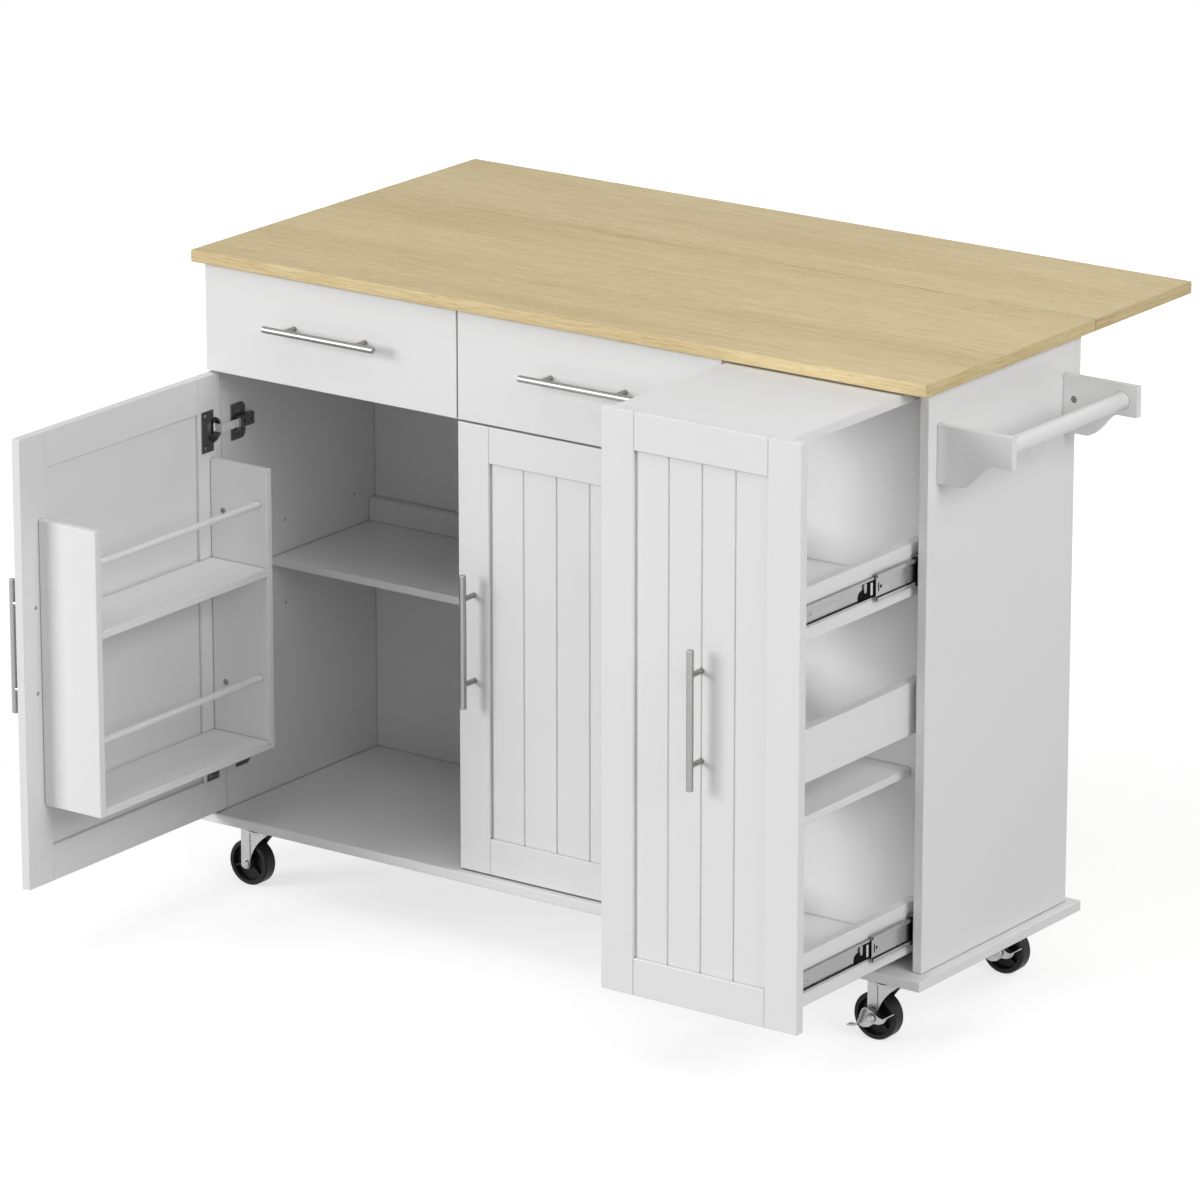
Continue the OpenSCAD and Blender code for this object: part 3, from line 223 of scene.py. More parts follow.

# Finds tight corners and joints by ambient occlusion, where little light gets in. The colours darkened
# there are painted shade
painted_corner_shade, take, give = node_group(
    "painted_corner_shade", "ShaderNodeTree",
    [("Reach", "Float", 0.004), ("Full At", "Float", 0.35)], [("Corner", "Float")])
shut_in = put(painted_corner_shade, "ShaderNodeAmbientOcclusion", samples=6)
corner_range = ranged(painted_corner_shade, 0.85, 1)
wire(painted_corner_shade,
     (take.outputs["Reach"], shut_in.inputs["Distance"]),
     (shut_in.outputs["AO"], corner_range.inputs["Value"]),
     (take.outputs["Full At"], corner_range.inputs["From Max"]),
     (corner_range.outputs[0], give.inputs["Corner"]))

# A sprayed or laminated film: faint clouds in its shade, a fine peel and small changes of gloss
paint_film, take, give = node_group(
    "paint_film", "ShaderNodeTree",
    [("Paint", "Color", (0.8, 0.8, 0.8, 1)), ("Shade", "Float", 0.03), ("Peel Size", "Float", 420.0),
     ("Gloss", "Float", 0.42)],
    [("Color", "Color"), ("Roughness", "Float"), ("Height", "Float")])
place = put(paint_film, "ShaderNodeTexCoord")
clouds = put(paint_film, "ShaderNodeTexNoise", {"Scale": 5, "Detail": 4})
peel = put(paint_film, "ShaderNodeTexNoise", {"Detail": 2})
shade_low = put(paint_film, "ShaderNodeMath", {0: 1}, operation="SUBTRACT")
darker = put(paint_film, "ShaderNodeVectorMath", operation="SCALE")
blend = put(paint_film, "ShaderNodeMix", data_type="RGBA")
gloss_low = put(paint_film, "ShaderNodeMath", {1: 0.05}, operation="SUBTRACT")
gloss_high = put(paint_film, "ShaderNodeMath", {1: 0.06}, operation="ADD")
gloss = ranged(paint_film, 0, 1)
wire(paint_film,
     (place.outputs["Object"], clouds.inputs["Vector"]),
     (place.outputs["Object"], peel.inputs["Vector"]),
     (take.outputs["Peel Size"], peel.inputs["Scale"]), (take.outputs["Shade"], shade_low.inputs[1]),
     (take.outputs["Paint"], darker.inputs[0]), (shade_low.outputs[0], darker.inputs["Scale"]),
     (clouds.outputs[0], blend.inputs["Factor"]),
     (take.outputs["Paint"], blend.inputs["A"]), (darker.outputs[0], blend.inputs["B"]),
     (take.outputs["Gloss"], gloss_low.inputs[0]), (take.outputs["Gloss"], gloss_high.inputs[0]),
     (clouds.outputs[0], gloss.inputs["Value"]),
     (gloss_low.outputs[0], gloss.inputs["To Min"]), (gloss_high.outputs[0], gloss.inputs["To Max"]),
     (blend.outputs["Result"], give.inputs["Color"]), (gloss.outputs[0], give.inputs["Roughness"]),
     (peel.outputs[0], give.inputs["Height"]))


def corner_shaded(tree, color, share, base, reach):
    """Darkens a colour as painted shade in the corners that are tighter than reach, towards a share of
    base.
    """
    corners = put(tree, "ShaderNodeGroup", {"Reach": reach, "Full At": 0.3}, node_tree=painted_corner_shade)
    shade_tone = (*[share * part for part in base], 1)
    laid = put(tree, "ShaderNodeMix", {"B": shade_tone}, data_type="RGBA")
    wire(tree, (corners.outputs["Corner"], laid.inputs["Factor"]), (color, laid.inputs["A"]))
    return laid.outputs["Result"]


def rubbed_edges(tree, color, rubbed, radius, share=1):
    """A colour that wears towards rubbed on eased edges, by that share, and the edges' own normal."""
    edges = put(tree, "ShaderNodeGroup", {"Radius": radius}, node_tree=eased_edge)
    worn = put(tree, "ShaderNodeMix", {"B": (*rubbed, 1)}, data_type="RGBA")
    part = put(tree, "ShaderNodeMath", {1: share}, operation="MULTIPLY")
    wire(tree, (edges.outputs["Edge"], part.inputs[0]), (part.outputs[0], worn.inputs["Factor"]),
         (color, worn.inputs["A"]))
    return worn.outputs["Result"], edges.outputs["Normal"]


def finished(tree, shader, color, rough, height, normal, strength, depth, sunk=False):
    """Joins a colour, a roughness and a fine relief of that strength and depth to the shader."""
    relief = put(tree, "ShaderNodeBump", {"Strength": strength, "Distance": depth}, invert=sunk)
    wire(tree, (color, shader.inputs["Base Color"]), (rough, shader.inputs["Roughness"]),
         (height, relief.inputs["Height"]), (normal, relief.inputs["Normal"]),
         (relief.outputs["Normal"], shader.inputs["Normal"]))


def painted(name, paint, gloss, peel_size, peel_depth, edge_radius, rubbed):
    """A white film on fibreboard. gloss is its roughness, and rubbed the colour of its worn edges."""
    made, tree, shader = fresh_material(name)
    film = put(tree, "ShaderNodeGroup", {"Paint": (*paint, 1), "Gloss": gloss, "Peel Size": peel_size},
               node_tree=paint_film)
    color, normal = rubbed_edges(tree, film.outputs["Color"], rubbed, edge_radius, 0.5)
    # Painted shade in tight corners and joints
    color = corner_shaded(tree, color, PAINT_CORNER_SHADE, paint, 0.004)
    finished(tree, shader, color, film.outputs["Roughness"], film.outputs["Height"], normal, 0.15,
             peel_depth)
    shader.inputs["IOR"].default_value = 1.47
    return made


def dress(names, finish):
    """Gives CAD pieces their finish."""
    for name in names:
        node[name].data.materials.clear()
        node[name].data.materials.append(finish)


board_film = painted("white_board_film", (0.82, 0.82, 0.82), gloss=0.42, peel_size=380,
                     peel_depth=0.00012, edge_radius=0.0012, rubbed=(0.86, 0.86, 0.85))
dress(WHITE_BOARDS, board_film)

# ---------------------------------------------------------------- worktop and leaf
# Light rubberwood boards under a satin lacquer. The grain runs along the island, with fine
# pores and soft bands, and the ends are banded with the same wood.

WOOD_DEEP = (0.52, 0.385, 0.175)
# Each layer of the figure: its stretch along X, Y and Z, its detail, roughness and twist, the part
# of its noise that shows, and how much it darkens
WOOD_LAYERS = {
    "bands": ((1.1, 11, 11), 3, 0.5, 0.01, (0.36, 0.66), 0.30),
    "figure": ((16, 420, 420), 4, 0.6, 0.012, (0.40, 0.64), 0.42),
    "pores": ((45, 900, 900), 2, 0.6, 0.01, (0.52, 0.68), 0.48),
    "streaks": ((3.5, 60, 60), 3, 0.6, 0.008, (0.44, 0.70), 0.16),
}

wood_grain, take, give = node_group(
    "wood_grain", "ShaderNodeTree",
    [("Pale", "Color", (0.6, 0.48, 0.28, 1)), ("Deep", "Color", (0.45, 0.34, 0.18, 1)),
     ("Streaks", "Float", 1.0), ("Shift", "Vector", (0, 0, 0)), ("Joint", "Float", 0.29975)],
    [("Color", "Color"), ("Pores", "Float")])
place = put(wood_grain, "ShaderNodeTexCoord")
surface = put(wood_grain, "ShaderNodeNewGeometry")
# On the end faces, the band's grain runs across the island, so X and Y change places
face = put(wood_grain, "ShaderNodeSeparateXYZ")
size_x = put(wood_grain, "ShaderNodeMath", operation="ABSOLUTE")
is_end = put(wood_grain, "ShaderNodeMath", {1: 0.7}, operation="GREATER_THAN")
parts = put(wood_grain, "ShaderNodeSeparateXYZ")
swapped = put(wood_grain, "ShaderNodeCombineXYZ")
along = put(wood_grain, "ShaderNodeMix", data_type="VECTOR")
moved = put(wood_grain, "ShaderNodeVectorMath", operation="ADD")
wire(wood_grain,
     (surface.outputs["True Normal"], face.inputs[0]),
     (face.outputs["X"], size_x.inputs[0]), (size_x.outputs[0], is_end.inputs[0]),
     (place.outputs["Object"], parts.inputs[0]), (parts.outputs["Y"], swapped.inputs["X"]),
     (parts.outputs["X"], swapped.inputs["Y"]), (parts.outputs["Z"], swapped.inputs["Z"]),
     (is_end.outputs[0], along.inputs["Factor"]),
     (place.outputs["Object"], along.inputs["A"]), (swapped.outputs[0], along.inputs["B"]),
     (along.outputs["Result"], moved.inputs[0]), (take.outputs["Shift"], moved.inputs[1]))


def stretched_noise(tree, source, stretch, detail, rough, twist):
    """Noise drawn out along X. stretch is the scale along X, Y and Z."""
    turn = put(tree, "ShaderNodeMapping", {"Scale": stretch, "Rotation": (0, 0, twist)})
    noise = put(tree, "ShaderNodeTexNoise", {"Scale": 1, "Detail": detail, "Roughness": rough})
    wire(tree, (source, turn.inputs["Vector"]), (turn.outputs[0], noise.inputs["Vector"]))
    return noise.outputs[0]


layer = {}
for label, (stretch, detail, rough, twist, (low, high), share) in WOOD_LAYERS.items():
    mapped = ranged(wood_grain, low, high, 0, share)
    noise = stretched_noise(wood_grain, moved.outputs[0], stretch, detail, rough, twist)
    wire(wood_grain, (noise, mapped.inputs["Value"]))
    layer[label] = mapped.outputs[0]
darkened = layer["bands"]
for label in ("figure", "pores", "streaks"):
    step = put(wood_grain, "ShaderNodeMath", operation="ADD")
    wire(wood_grain, (darkened, step.inputs[0]), (layer[label], step.inputs[1]))
    darkened = step.outputs[0]
scaled = put(wood_grain, "ShaderNodeMath", operation="MULTIPLY", use_clamp=True)
tone = put(wood_grain, "ShaderNodeMix", data_type="RGBA")
# Painted shade of the seam darkens the boards along the joint between worktop and leaf
off_joint = put(wood_grain, "ShaderNodeMath", operation="SUBTRACT")
off_size = put(wood_grain, "ShaderNodeMath", operation="ABSOLUTE")
seam_shade_range = ranged(wood_grain, 0.0006, 0.0024, 0.74)
shaded = put(wood_grain, "ShaderNodeVectorMath", operation="SCALE")
wire(wood_grain,
     (darkened, scaled.inputs[0]), (take.outputs["Streaks"], scaled.inputs[1]),
     (scaled.outputs[0], tone.inputs["Factor"]),
     (take.outputs["Pale"], tone.inputs["A"]), (take.outputs["Deep"], tone.inputs["B"]),
     (parts.outputs["Y"], off_joint.inputs[0]), (take.outputs["Joint"], off_joint.inputs[1]),
     (off_joint.outputs[0], off_size.inputs[0]), (off_size.outputs[0], seam_shade_range.inputs["Value"]),
     (tone.outputs["Result"], shaded.inputs[0]), (seam_shade_range.outputs[0], shaded.inputs["Scale"]),
     (shaded.outputs[0], give.inputs["Color"]), (layer["pores"], give.inputs["Pores"]))


def lacquered_wood(name, pale, shift):
    """Lacquered wood. shift moves the figure, so that the two boards differ."""
    made, tree, shader = fresh_material(name)
    grain = put(tree, "ShaderNodeGroup", {"Pale": (*pale, 1), "Deep": (*WOOD_DEEP, 1), "Shift": shift},
                node_tree=wood_grain)
    rough = ranged(tree, 0, 1, 0.50, 0.70)
    wire(tree, (grain.outputs["Pores"], rough.inputs["Value"]))
    color, normal = rubbed_edges(tree, grain.outputs["Color"], (0.70, 0.60, 0.42), 0.0014, 0.45)
    finished(tree, shader, color, rough.outputs[0], grain.outputs["Pores"], normal, 0.2, 0.0002,
             sunk=True)
    shader.inputs["IOR"].default_value = 1.42
    shader.inputs["Specular IOR Level"].default_value = 0.35
    return made


worktop_wood = lacquered_wood("lacquered_worktop", (0.765, 0.63, 0.365), shift=(0, 0, 0))
leaf_wood = lacquered_wood("lacquered_leaf", (0.765, 0.635, 0.375), shift=(3.7, 0.61, 0.2))
dress(["worktop"], worktop_wood)
dress(["drop_leaf"], leaf_wood)

# ---------------------------------------------------------------- doors and fronts
# Framed fronts of sprayed fibreboard: stiles run through, rails fit between them, and a
# grooved panel sits in the frame. Drawer fronts are single slabs. The spray is a little glossier.

FRONTS = [
    "left_door_frame", "left_door_panel", "right_door_frame", "right_door_panel",
    "left_drawer_front", "right_drawer_front", "pullout_front_frame", "pullout_front_panel",
]
front_spray = painted("white_front_spray", (0.79, 0.79, 0.79), gloss=0.36, peel_size=520,
                      peel_depth=0.00010, edge_radius=0.0010, rubbed=(0.88, 0.88, 0.87))
dress(FRONTS, front_spray)

# ---------------------------------------------------------------- rods and towel rack
# Turned dowels and sawn brackets under the same white spray, a little glossier and with a
# finer peel.

turned_spray = painted("white_turned_spray", (0.81, 0.81, 0.81), gloss=0.34, peel_size=700,
                       peel_depth=0.00010, edge_radius=0.0009, rubbed=(0.88, 0.88, 0.87))
dress(["spice_rack_rods", "towel_rod", "towel_brackets"], turned_spray)

# ---------------------------------------------------------------- metal
# Bright zinc on the slides, stays and casters, and brushed steel on the handles. Fine lines from
# rolling or brushing, small stains, and edges rubbed bright.

# Painted shade: how much the metal is darkened in tight corners and joints
METAL_CORNER_SHADE = 0.12           # how bright the metal stays in a tight corner
RUBBED_STEEL = (0.55, 0.545, 0.54)

drawn_lines, take, give = node_group(
    "drawn_lines", "ShaderNodeTree",
    [("Metal", "Color", (0.6, 0.6, 0.6, 1)), ("Stretch", "Vector", (30, 900, 900)),
     ("Rough", "Float", 0.3)],
    [("Color", "Color"), ("Roughness", "Float"), ("Height", "Float")])
place = put(drawn_lines, "ShaderNodeTexCoord")
draw_out = put(drawn_lines, "ShaderNodeVectorMath", operation="MULTIPLY")
lines = put(drawn_lines, "ShaderNodeTexNoise", {"Scale": 1, "Detail": 3})
stains = put(drawn_lines, "ShaderNodeTexNoise", {"Scale": 35, "Detail": 4})
shade = ranged(drawn_lines, 0.3, 0.7, 0.88, 1.06)
tint = put(drawn_lines, "ShaderNodeVectorMath", operation="SCALE")
dulled = ranged(drawn_lines, 0.3, 0.7, -0.05, 0.10)
rough_sum = put(drawn_lines, "ShaderNodeMath", operation="ADD", use_clamp=True)
wire(drawn_lines,
     (place.outputs["Object"], draw_out.inputs[0]), (take.outputs["Stretch"], draw_out.inputs[1]),
     (draw_out.outputs[0], lines.inputs["Vector"]), (place.outputs["Object"], stains.inputs["Vector"]),
     (lines.outputs[0], shade.inputs["Value"]),
     (take.outputs["Metal"], tint.inputs[0]), (shade.outputs[0], tint.inputs["Scale"]),
     (stains.outputs[0], dulled.inputs["Value"]),
     (take.outputs["Rough"], rough_sum.inputs[0]), (dulled.outputs[0], rough_sum.inputs[1]),
     (tint.outputs[0], give.inputs["Color"]), (rough_sum.outputs[0], give.inputs["Roughness"]),
     (lines.outputs[0], give.inputs["Height"]))


def bare_metal(name, metal, rough, stretch, depth, edge_radius, rubbed):
    """Bare or plated metal. stretch draws its lines out, and rubbed is the colour of its edges."""
    made, tree, shader = fresh_material(name)
    drawn = put(tree, "ShaderNodeGroup", {"Metal": (*metal, 1), "Rough": rough, "Stretch": stretch},
                node_tree=drawn_lines)
    color, normal = rubbed_edges(tree, drawn.outputs["Color"], rubbed, edge_radius)
    # Painted shade in tight corners and joints
    color = corner_shaded(tree, color, METAL_CORNER_SHADE, metal, 0.003)
    finished(tree, shader, color, drawn.outputs["Roughness"], drawn.outputs["Height"], normal, 0.2,
             depth)
    shader.inputs["Metallic"].default_value = 1
    return made


brushed_upright = bare_metal("brushed_steel_upright", (0.36, 0.355, 0.35), rough=0.22,
                             stretch=(2500, 2500, 60), depth=0.00003, edge_radius=0.0006,
                             rubbed=RUBBED_STEEL)
brushed_across = bare_metal("brushed_steel_across", (0.34, 0.335, 0.33), rough=0.30,
                            stretch=(60, 2500, 2500), depth=0.00003, edge_radius=0.0006,
                            rubbed=RUBBED_STEEL)
dress(["left_door_handle", "right_door_handle", "pullout_handle"], brushed_upright)
dress(["left_drawer_handle", "right_drawer_handle"], brushed_across)

bright_zinc = bare_metal("bright_zinc", (0.36, 0.36, 0.365), rough=0.26, stretch=(900, 25, 900),
                         depth=0.00003, edge_radius=0.0004, rubbed=(0.60, 0.60, 0.605))
dress(["drawer_slide_outers", "pullout_slide_outers", "left_drawer_slide_inners",
       "right_drawer_slide_inners", "pullout_slide_middles", "pullout_slide_inners", "shelf_pins"],
      bright_zinc)
stay_zinc = bare_metal("stay_zinc", (0.50, 0.505, 0.515), rough=0.34, stretch=(900, 60, 900),
                       depth=0.00003, edge_radius=0.0004, rubbed=(0.68, 0.68, 0.69))
dress(["leaf_stay_wall_legs", "leaf_stay_top_legs", "leaf_stay_lower_links", "leaf_stay_upper_links"],
      stay_zinc)
caster_zinc = bare_metal("caster_zinc", (0.47, 0.47, 0.475), rough=0.28, stretch=(220, 220, 220),
                         depth=0.00004, edge_radius=0.0005, rubbed=(0.72, 0.72, 0.73))
dress(["caster_plates", "front_left_fork", "front_right_fork", "front_right_brake", "back_left_fork",
       "back_right_fork", "back_right_brake"], caster_zinc)

# ---------------------------------------------------------------- hinges
# Concealed hinges of pressed steel. Cups, bodies and winged plates are plated in dark nickel, and
# the arms between them are bright strips.

dark_nickel = bare_metal("dark_nickel", (0.20, 0.20, 0.205), rough=0.32, stretch=(300, 300, 300),
                         depth=0.00004, edge_radius=0.0005, rubbed=(0.42, 0.42, 0.43))
dress(["hinge_plates", "hinge_bodies", "left_hinge_cups", "right_hinge_cups"], dark_nickel)
hinge_bright = bare_metal("hinge_bright", (0.96, 0.96, 0.96), rough=0.26, stretch=(60, 900, 900),
                          depth=0.00002, edge_radius=0.0004, rubbed=(0.98, 0.98, 0.98))
# Painted reflection: the arms are near white and mostly diffuse, so that they read as bright as
# polished steel mirroring the white surround
hinge_bright.node_tree.nodes["Principled BSDF"].inputs["Metallic"].default_value = 0.3
dress(["hinge_arms"], hinge_bright)

# ---------------------------------------------------------------- screws
# Cross-head screws hold the hinges, handles, rack, slides, casters, stays and towel brackets. They
# are zinc plated, and darker in the hinges. One tree sets a head and shank on each point, along the
# point's own axis, and turns each by its own chance.

LEFT, RIGHT, FRONT, BACK, DOWN = (-1, 0, 0), (1, 0, 0), (0, -1, 0), (0, 1, 0), (0, 0, -1)

# Radius of each kind of head, and its height as a share of a round one's
FLANGE_HEAD = (0.003, 0.7)
ADJUSTER = (0.0023, 1)
HANDLE_BOLT = (0.003, 0.9)
SLIDE_HEAD = (0.003, 0.5)
STAY_HEAD = (0.0038, 0.8)
CASTER_BOLT = (0.0046, 1)
RACK_CAM = (0.0052, 0.3)
TOWEL_CAM = (0.0048, 0.4)

screw_heads, take, give = node_group(
    "screw_heads", "GeometryNodeTree",
    [("Places", "Geometry"), ("Head Height", "Float", 0.42), ("Dome", "Float", 0.35),
     ("Shank Radius", "Float", 0.5), ("Slot Length", "Float", 1.15), ("Slot Width", "Float", 0.26),
     ("Seed", "Int", 7), ("Finish", "Material")],
    [("Heads", "Geometry")])

# A head of radius 1: a short cylinder whose rings draw in towards the top
drum = put(screw_heads, "GeometryNodeMeshCylinder", {"Vertices": 20, "Side Segments": 3, "Radius": 1})
where = put(screw_heads, "GeometryNodeInputPosition")
apart = put(screw_heads, "ShaderNodeSeparateXYZ")
share = put(screw_heads, "ShaderNodeMath", operation="DIVIDE")
raised = put(screw_heads, "ShaderNodeMath", {1: 0.5}, operation="ADD", use_clamp=True)
squared = put(screw_heads, "ShaderNodeMath", operation="MULTIPLY")
drawn = put(screw_heads, "ShaderNodeMath", operation="MULTIPLY")
kept = put(screw_heads, "ShaderNodeMath", {0: 1}, operation="SUBTRACT")
half_height = put(screw_heads, "ShaderNodeMath", {1: 0.5}, operation="MULTIPLY")
narrow_x = put(screw_heads, "ShaderNodeMath", operation="MULTIPLY")
narrow_y = put(screw_heads, "ShaderNodeMath", operation="MULTIPLY")
lifted = put(screw_heads, "ShaderNodeMath", operation="ADD")
together = put(screw_heads, "ShaderNodeCombineXYZ")
shaped = put(screw_heads, "GeometryNodeSetPosition")
wire(screw_heads,
     (take.outputs["Head Height"], drum.inputs["Depth"]),
     (where.outputs[0], apart.inputs[0]),
     (apart.outputs["Z"], share.inputs[0]), (take.outputs["Head Height"], share.inputs[1]),
     (share.outputs[0], raised.inputs[0]),
     (raised.outputs[0], squared.inputs[0]), (raised.outputs[0], squared.inputs[1]),
     (squared.outputs[0], drawn.inputs[0]), (take.outputs["Dome"], drawn.inputs[1]),
     (drawn.outputs[0], kept.inputs[1]),
     (apart.outputs["X"], narrow_x.inputs[0]), (kept.outputs[0], narrow_x.inputs[1]),
     (apart.outputs["Y"], narrow_y.inputs[0]), (kept.outputs[0], narrow_y.inputs[1]),
     (take.outputs["Head Height"], half_height.inputs[0]),
     (apart.outputs["Z"], lifted.inputs[0]), (half_height.outputs[0], lifted.inputs[1]),
     (narrow_x.outputs[0], together.inputs["X"]), (narrow_y.outputs[0], together.inputs["Y"]),
     (lifted.outputs[0], together.inputs["Z"]),
     (drum.outputs["Mesh"], shaped.inputs["Geometry"]),
     (together.outputs[0], shaped.inputs["Position"]))

# The shank goes down into the wood, and a cross is sunk in the head
shank = put(screw_heads, "GeometryNodeMeshCylinder", {"Vertices": 12, "Depth": 0.7})
sunk = put(screw_heads, "GeometryNodeTransform", {"Translation": (0, 0, -0.3)})
whole = put(screw_heads, "GeometryNodeMeshBoolean", operation="UNION")
crossed = put(screw_heads, "GeometryNodeMeshBoolean", operation="DIFFERENCE")
slot_size = put(screw_heads, "ShaderNodeCombineXYZ")
slot_depth = put(screw_heads, "ShaderNodeMath", {1: 1.7}, operation="MULTIPLY")
bar = put(screw_heads, "GeometryNodeMeshCube")
bar_up = put(screw_heads, "GeometryNodeTransform")
bar_across = put(screw_heads, "GeometryNodeTransform", {"Rotation": (0, 0, math.pi / 2)})
bar_place = put(screw_heads, "ShaderNodeCombineXYZ")
wire(screw_heads,
     (take.outputs["Shank Radius"], shank.inputs["Radius"]),
     (shank.outputs["Mesh"], sunk.inputs["Geometry"]),
     (shaped.outputs[0], whole.inputs["Mesh 2"]), (sunk.outputs[0], whole.inputs["Mesh 2"]),
     (take.outputs["Slot Length"], slot_size.inputs["X"]),
     (take.outputs["Slot Width"], slot_size.inputs["Y"]),
     (take.outputs["Head Height"], slot_depth.inputs[0]),
     (slot_depth.outputs[0], slot_size.inputs["Z"]),
     (slot_size.outputs[0], bar.inputs["Size"]),
     (take.outputs["Head Height"], bar_place.inputs["Z"]),
     (bar.outputs["Mesh"], bar_up.inputs["Geometry"]),
     (bar_place.outputs[0], bar_up.inputs["Translation"]),
     (bar_up.outputs[0], bar_across.inputs["Geometry"]),
     (whole.outputs["Mesh"], crossed.inputs["Mesh 1"]),
     (bar_up.outputs[0], crossed.inputs["Mesh 2"]), (bar_across.outputs[0], crossed.inputs["Mesh 2"]))

# One screw on each point
axis = put(screw_heads, "GeometryNodeInputNamedAttribute", {"Name": "axis"}, data_type="FLOAT_VECTOR")
spread = put(screw_heads, "GeometryNodeInputNamedAttribute", {"Name": "spread"},
             data_type="FLOAT_VECTOR")
aim = put(screw_heads, "FunctionNodeAlignRotationToVector", axis="Z")
chance = put(screw_heads, "FunctionNodeRandomValue", {"Max": 3.14}, data_type="FLOAT")
twist = put(screw_heads, "FunctionNodeAxisAngleToRotation", {"Axis": (0, 0, 1)})
turned = put(screw_heads, "FunctionNodeRotateRotation", rotation_space="LOCAL")
set_on = put(screw_heads, "GeometryNodeInstanceOnPoints")
real = put(screw_heads, "GeometryNodeRealizeInstances")
finish = put(screw_heads, "GeometryNodeSetMaterial")
wire(screw_heads,
     (axis.outputs["Attribute"], aim.inputs["Vector"]), (take.outputs["Seed"], chance.inputs["Seed"]),
     (chance.outputs[1], twist.inputs["Angle"]), (aim.outputs[0], turned.inputs["Rotation"]),
     (twist.outputs[0], turned.inputs["Rotate By"]), (take.outputs["Places"], set_on.inputs["Points"]),
     (crossed.outputs["Mesh"], set_on.inputs["Instance"]),
     (turned.outputs[0], set_on.inputs["Rotation"]),
     (spread.outputs["Attribute"], set_on.inputs["Scale"]), (set_on.outputs[0], real.inputs[0]),
     (real.outputs[0], finish.inputs["Geometry"]), (take.outputs["Finish"], finish.inputs["Material"]),
     (finish.outputs[0], give.inputs["Heads"]))


def baked(name, points, axes, spreads, tree, values):
    """Runs a tree on points, each with an axis and a spread, and gives back a plain object."""
    places = bpy.data.meshes.new(name + "_places")
    places.from_pydata(points, [], [])
    for label, column in (("axis", axes), ("spread", spreads)):
        written = places.attributes.new(label, "FLOAT_VECTOR", "POINT")
        written.data.foreach_set("vector", [part for row in column for part in row])
    piece = bpy.data.objects.new(name, places)
    bpy.context.collection.objects.link(piece)
    maker = piece.modifiers.new("maker", "NODES")
    maker.node_group = tree
    for socket in tree.interface.items_tree:
        if socket.in_out == "INPUT" and socket.name in values:
            maker[socket.identifier] = values[socket.name]
    seen = piece.evaluated_get(bpy.context.evaluated_depsgraph_get())
    plain = bpy.data.meshes.new_from_object(seen)
    piece.modifiers.clear()
    plain.name = name
    piece.data = plain
    return piece


screw_zinc = bare_metal("screw_zinc", (0.40, 0.40, 0.41), rough=0.30, stretch=(400, 400, 400),
                        depth=0.00003, edge_radius=0.0003, rubbed=(0.66, 0.66, 0.67))
hinge_screw = bare_metal("hinge_screw", (0.26, 0.26, 0.265), rough=0.22, stretch=(400, 400, 400),
                         depth=0.00003, edge_radius=0.0003, rubbed=(0.70, 0.70, 0.71))


def screwed(name, body, places, finish=screw_zinc):
    """Screws of one body. Each place is a point, the way it faces, and its kind of head."""
    points = [point for point, axis, head in places]
    axes = [axis for point, axis, head in places]
    spreads = [(radius, radius, radius * flat) for point, axis, (radius, flat) in places]
    piece = baked(name, points, axes, spreads, screw_heads, {"Finish": finish})
    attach(piece, body)


def middle(name):
    """The middle of a CAD piece's box."""
    low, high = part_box(name)
    return (low + high) / 2


# On the left side and the partition: the hinges' plates, and the adjusters on the bodies that
# stand on them
BODY_HALF = 0.009                # half the height of a hinge's body
PLATE_ROW = 0.014                # from a plate's front end to its screws
PLATE_RISES = (-0.016, 0.016)    # of a plate's screws from the middle of the hinge
ADJUSTER_ROWS = (0.021, 0.037)   # from a plate's front end
ADJUSTER_OUT = 0.00705           # from the wall to the outside of a body

plate_low, plate_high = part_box("hinge_plates")
low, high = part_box("hinge_bodies")
hinge_zs = (low.z + BODY_HALF, high.z - BODY_HALF)
plate_places = []
for z in hinge_zs:
    for x, axis in ((low.x, RIGHT), (high.x, LEFT)):
        plate_places += [((x, plate_low.y + PLATE_ROW, z + rise), axis, FLANGE_HEAD)
                         for rise in PLATE_RISES]
    for x, axis in ((plate_low.x + ADJUSTER_OUT, RIGHT), (plate_high.x - ADJUSTER_OUT, LEFT)):
        plate_places += [((x, plate_low.y + row, z), axis, ADJUSTER) for row in ADJUSTER_ROWS]
screwed("hinge_plate_screws", "carcass", plate_places, dark_nickel)

# Under the casters' plates
CASTER_HALF = (0.030, 0.026)     # half a plate's length and width
CASTER_PLATE_T = 0.0025          # thickness
BOLTS_ALONG, BOLTS_ACROSS = (-0.022, 0.022), (-0.018, 0.018)

low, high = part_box("caster_plates")
carcass_places = [((x + along, y + across, high.z - CASTER_PLATE_T), DOWN, CASTER_BOLT)
                  for x in (low.x + CASTER_HALF[0], high.x - CASTER_HALF[0])
                  for y in (low.y + CASTER_HALF[1], high.y - CASTER_HALF[1])
                  for along in BOLTS_ALONG for across in BOLTS_ACROSS]

# On the stays' wall legs
LEG_T = 0.002                    # thickness of the stays' angles
WALL_LEG_IN = 0.011              # from a leg's outer side to its screws
WALL_LEG_LOW, WALL_LEG_HIGH = 0.015, 0.027    # from its lower and its upper end

low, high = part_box("leaf_stay_wall_legs")
carcass_places += [((x, low.y + LEG_T, z), BACK, STAY_HEAD)
                   for x in (low.x + WALL_LEG_IN, high.x - WALL_LEG_IN)
                   for z in (low.z + WALL_LEG_LOW, high.z - WALL_LEG_HIGH)]

# On the inner faces of the towel brackets
TOWEL_CAM_IN = 0.0102            # from a bracket's outer face to its cam
TOWEL_CAM_OUT = 0.018            # from the side panel
TOWEL_CAM_DOWN = 0.034           # from the bracket's upper edge

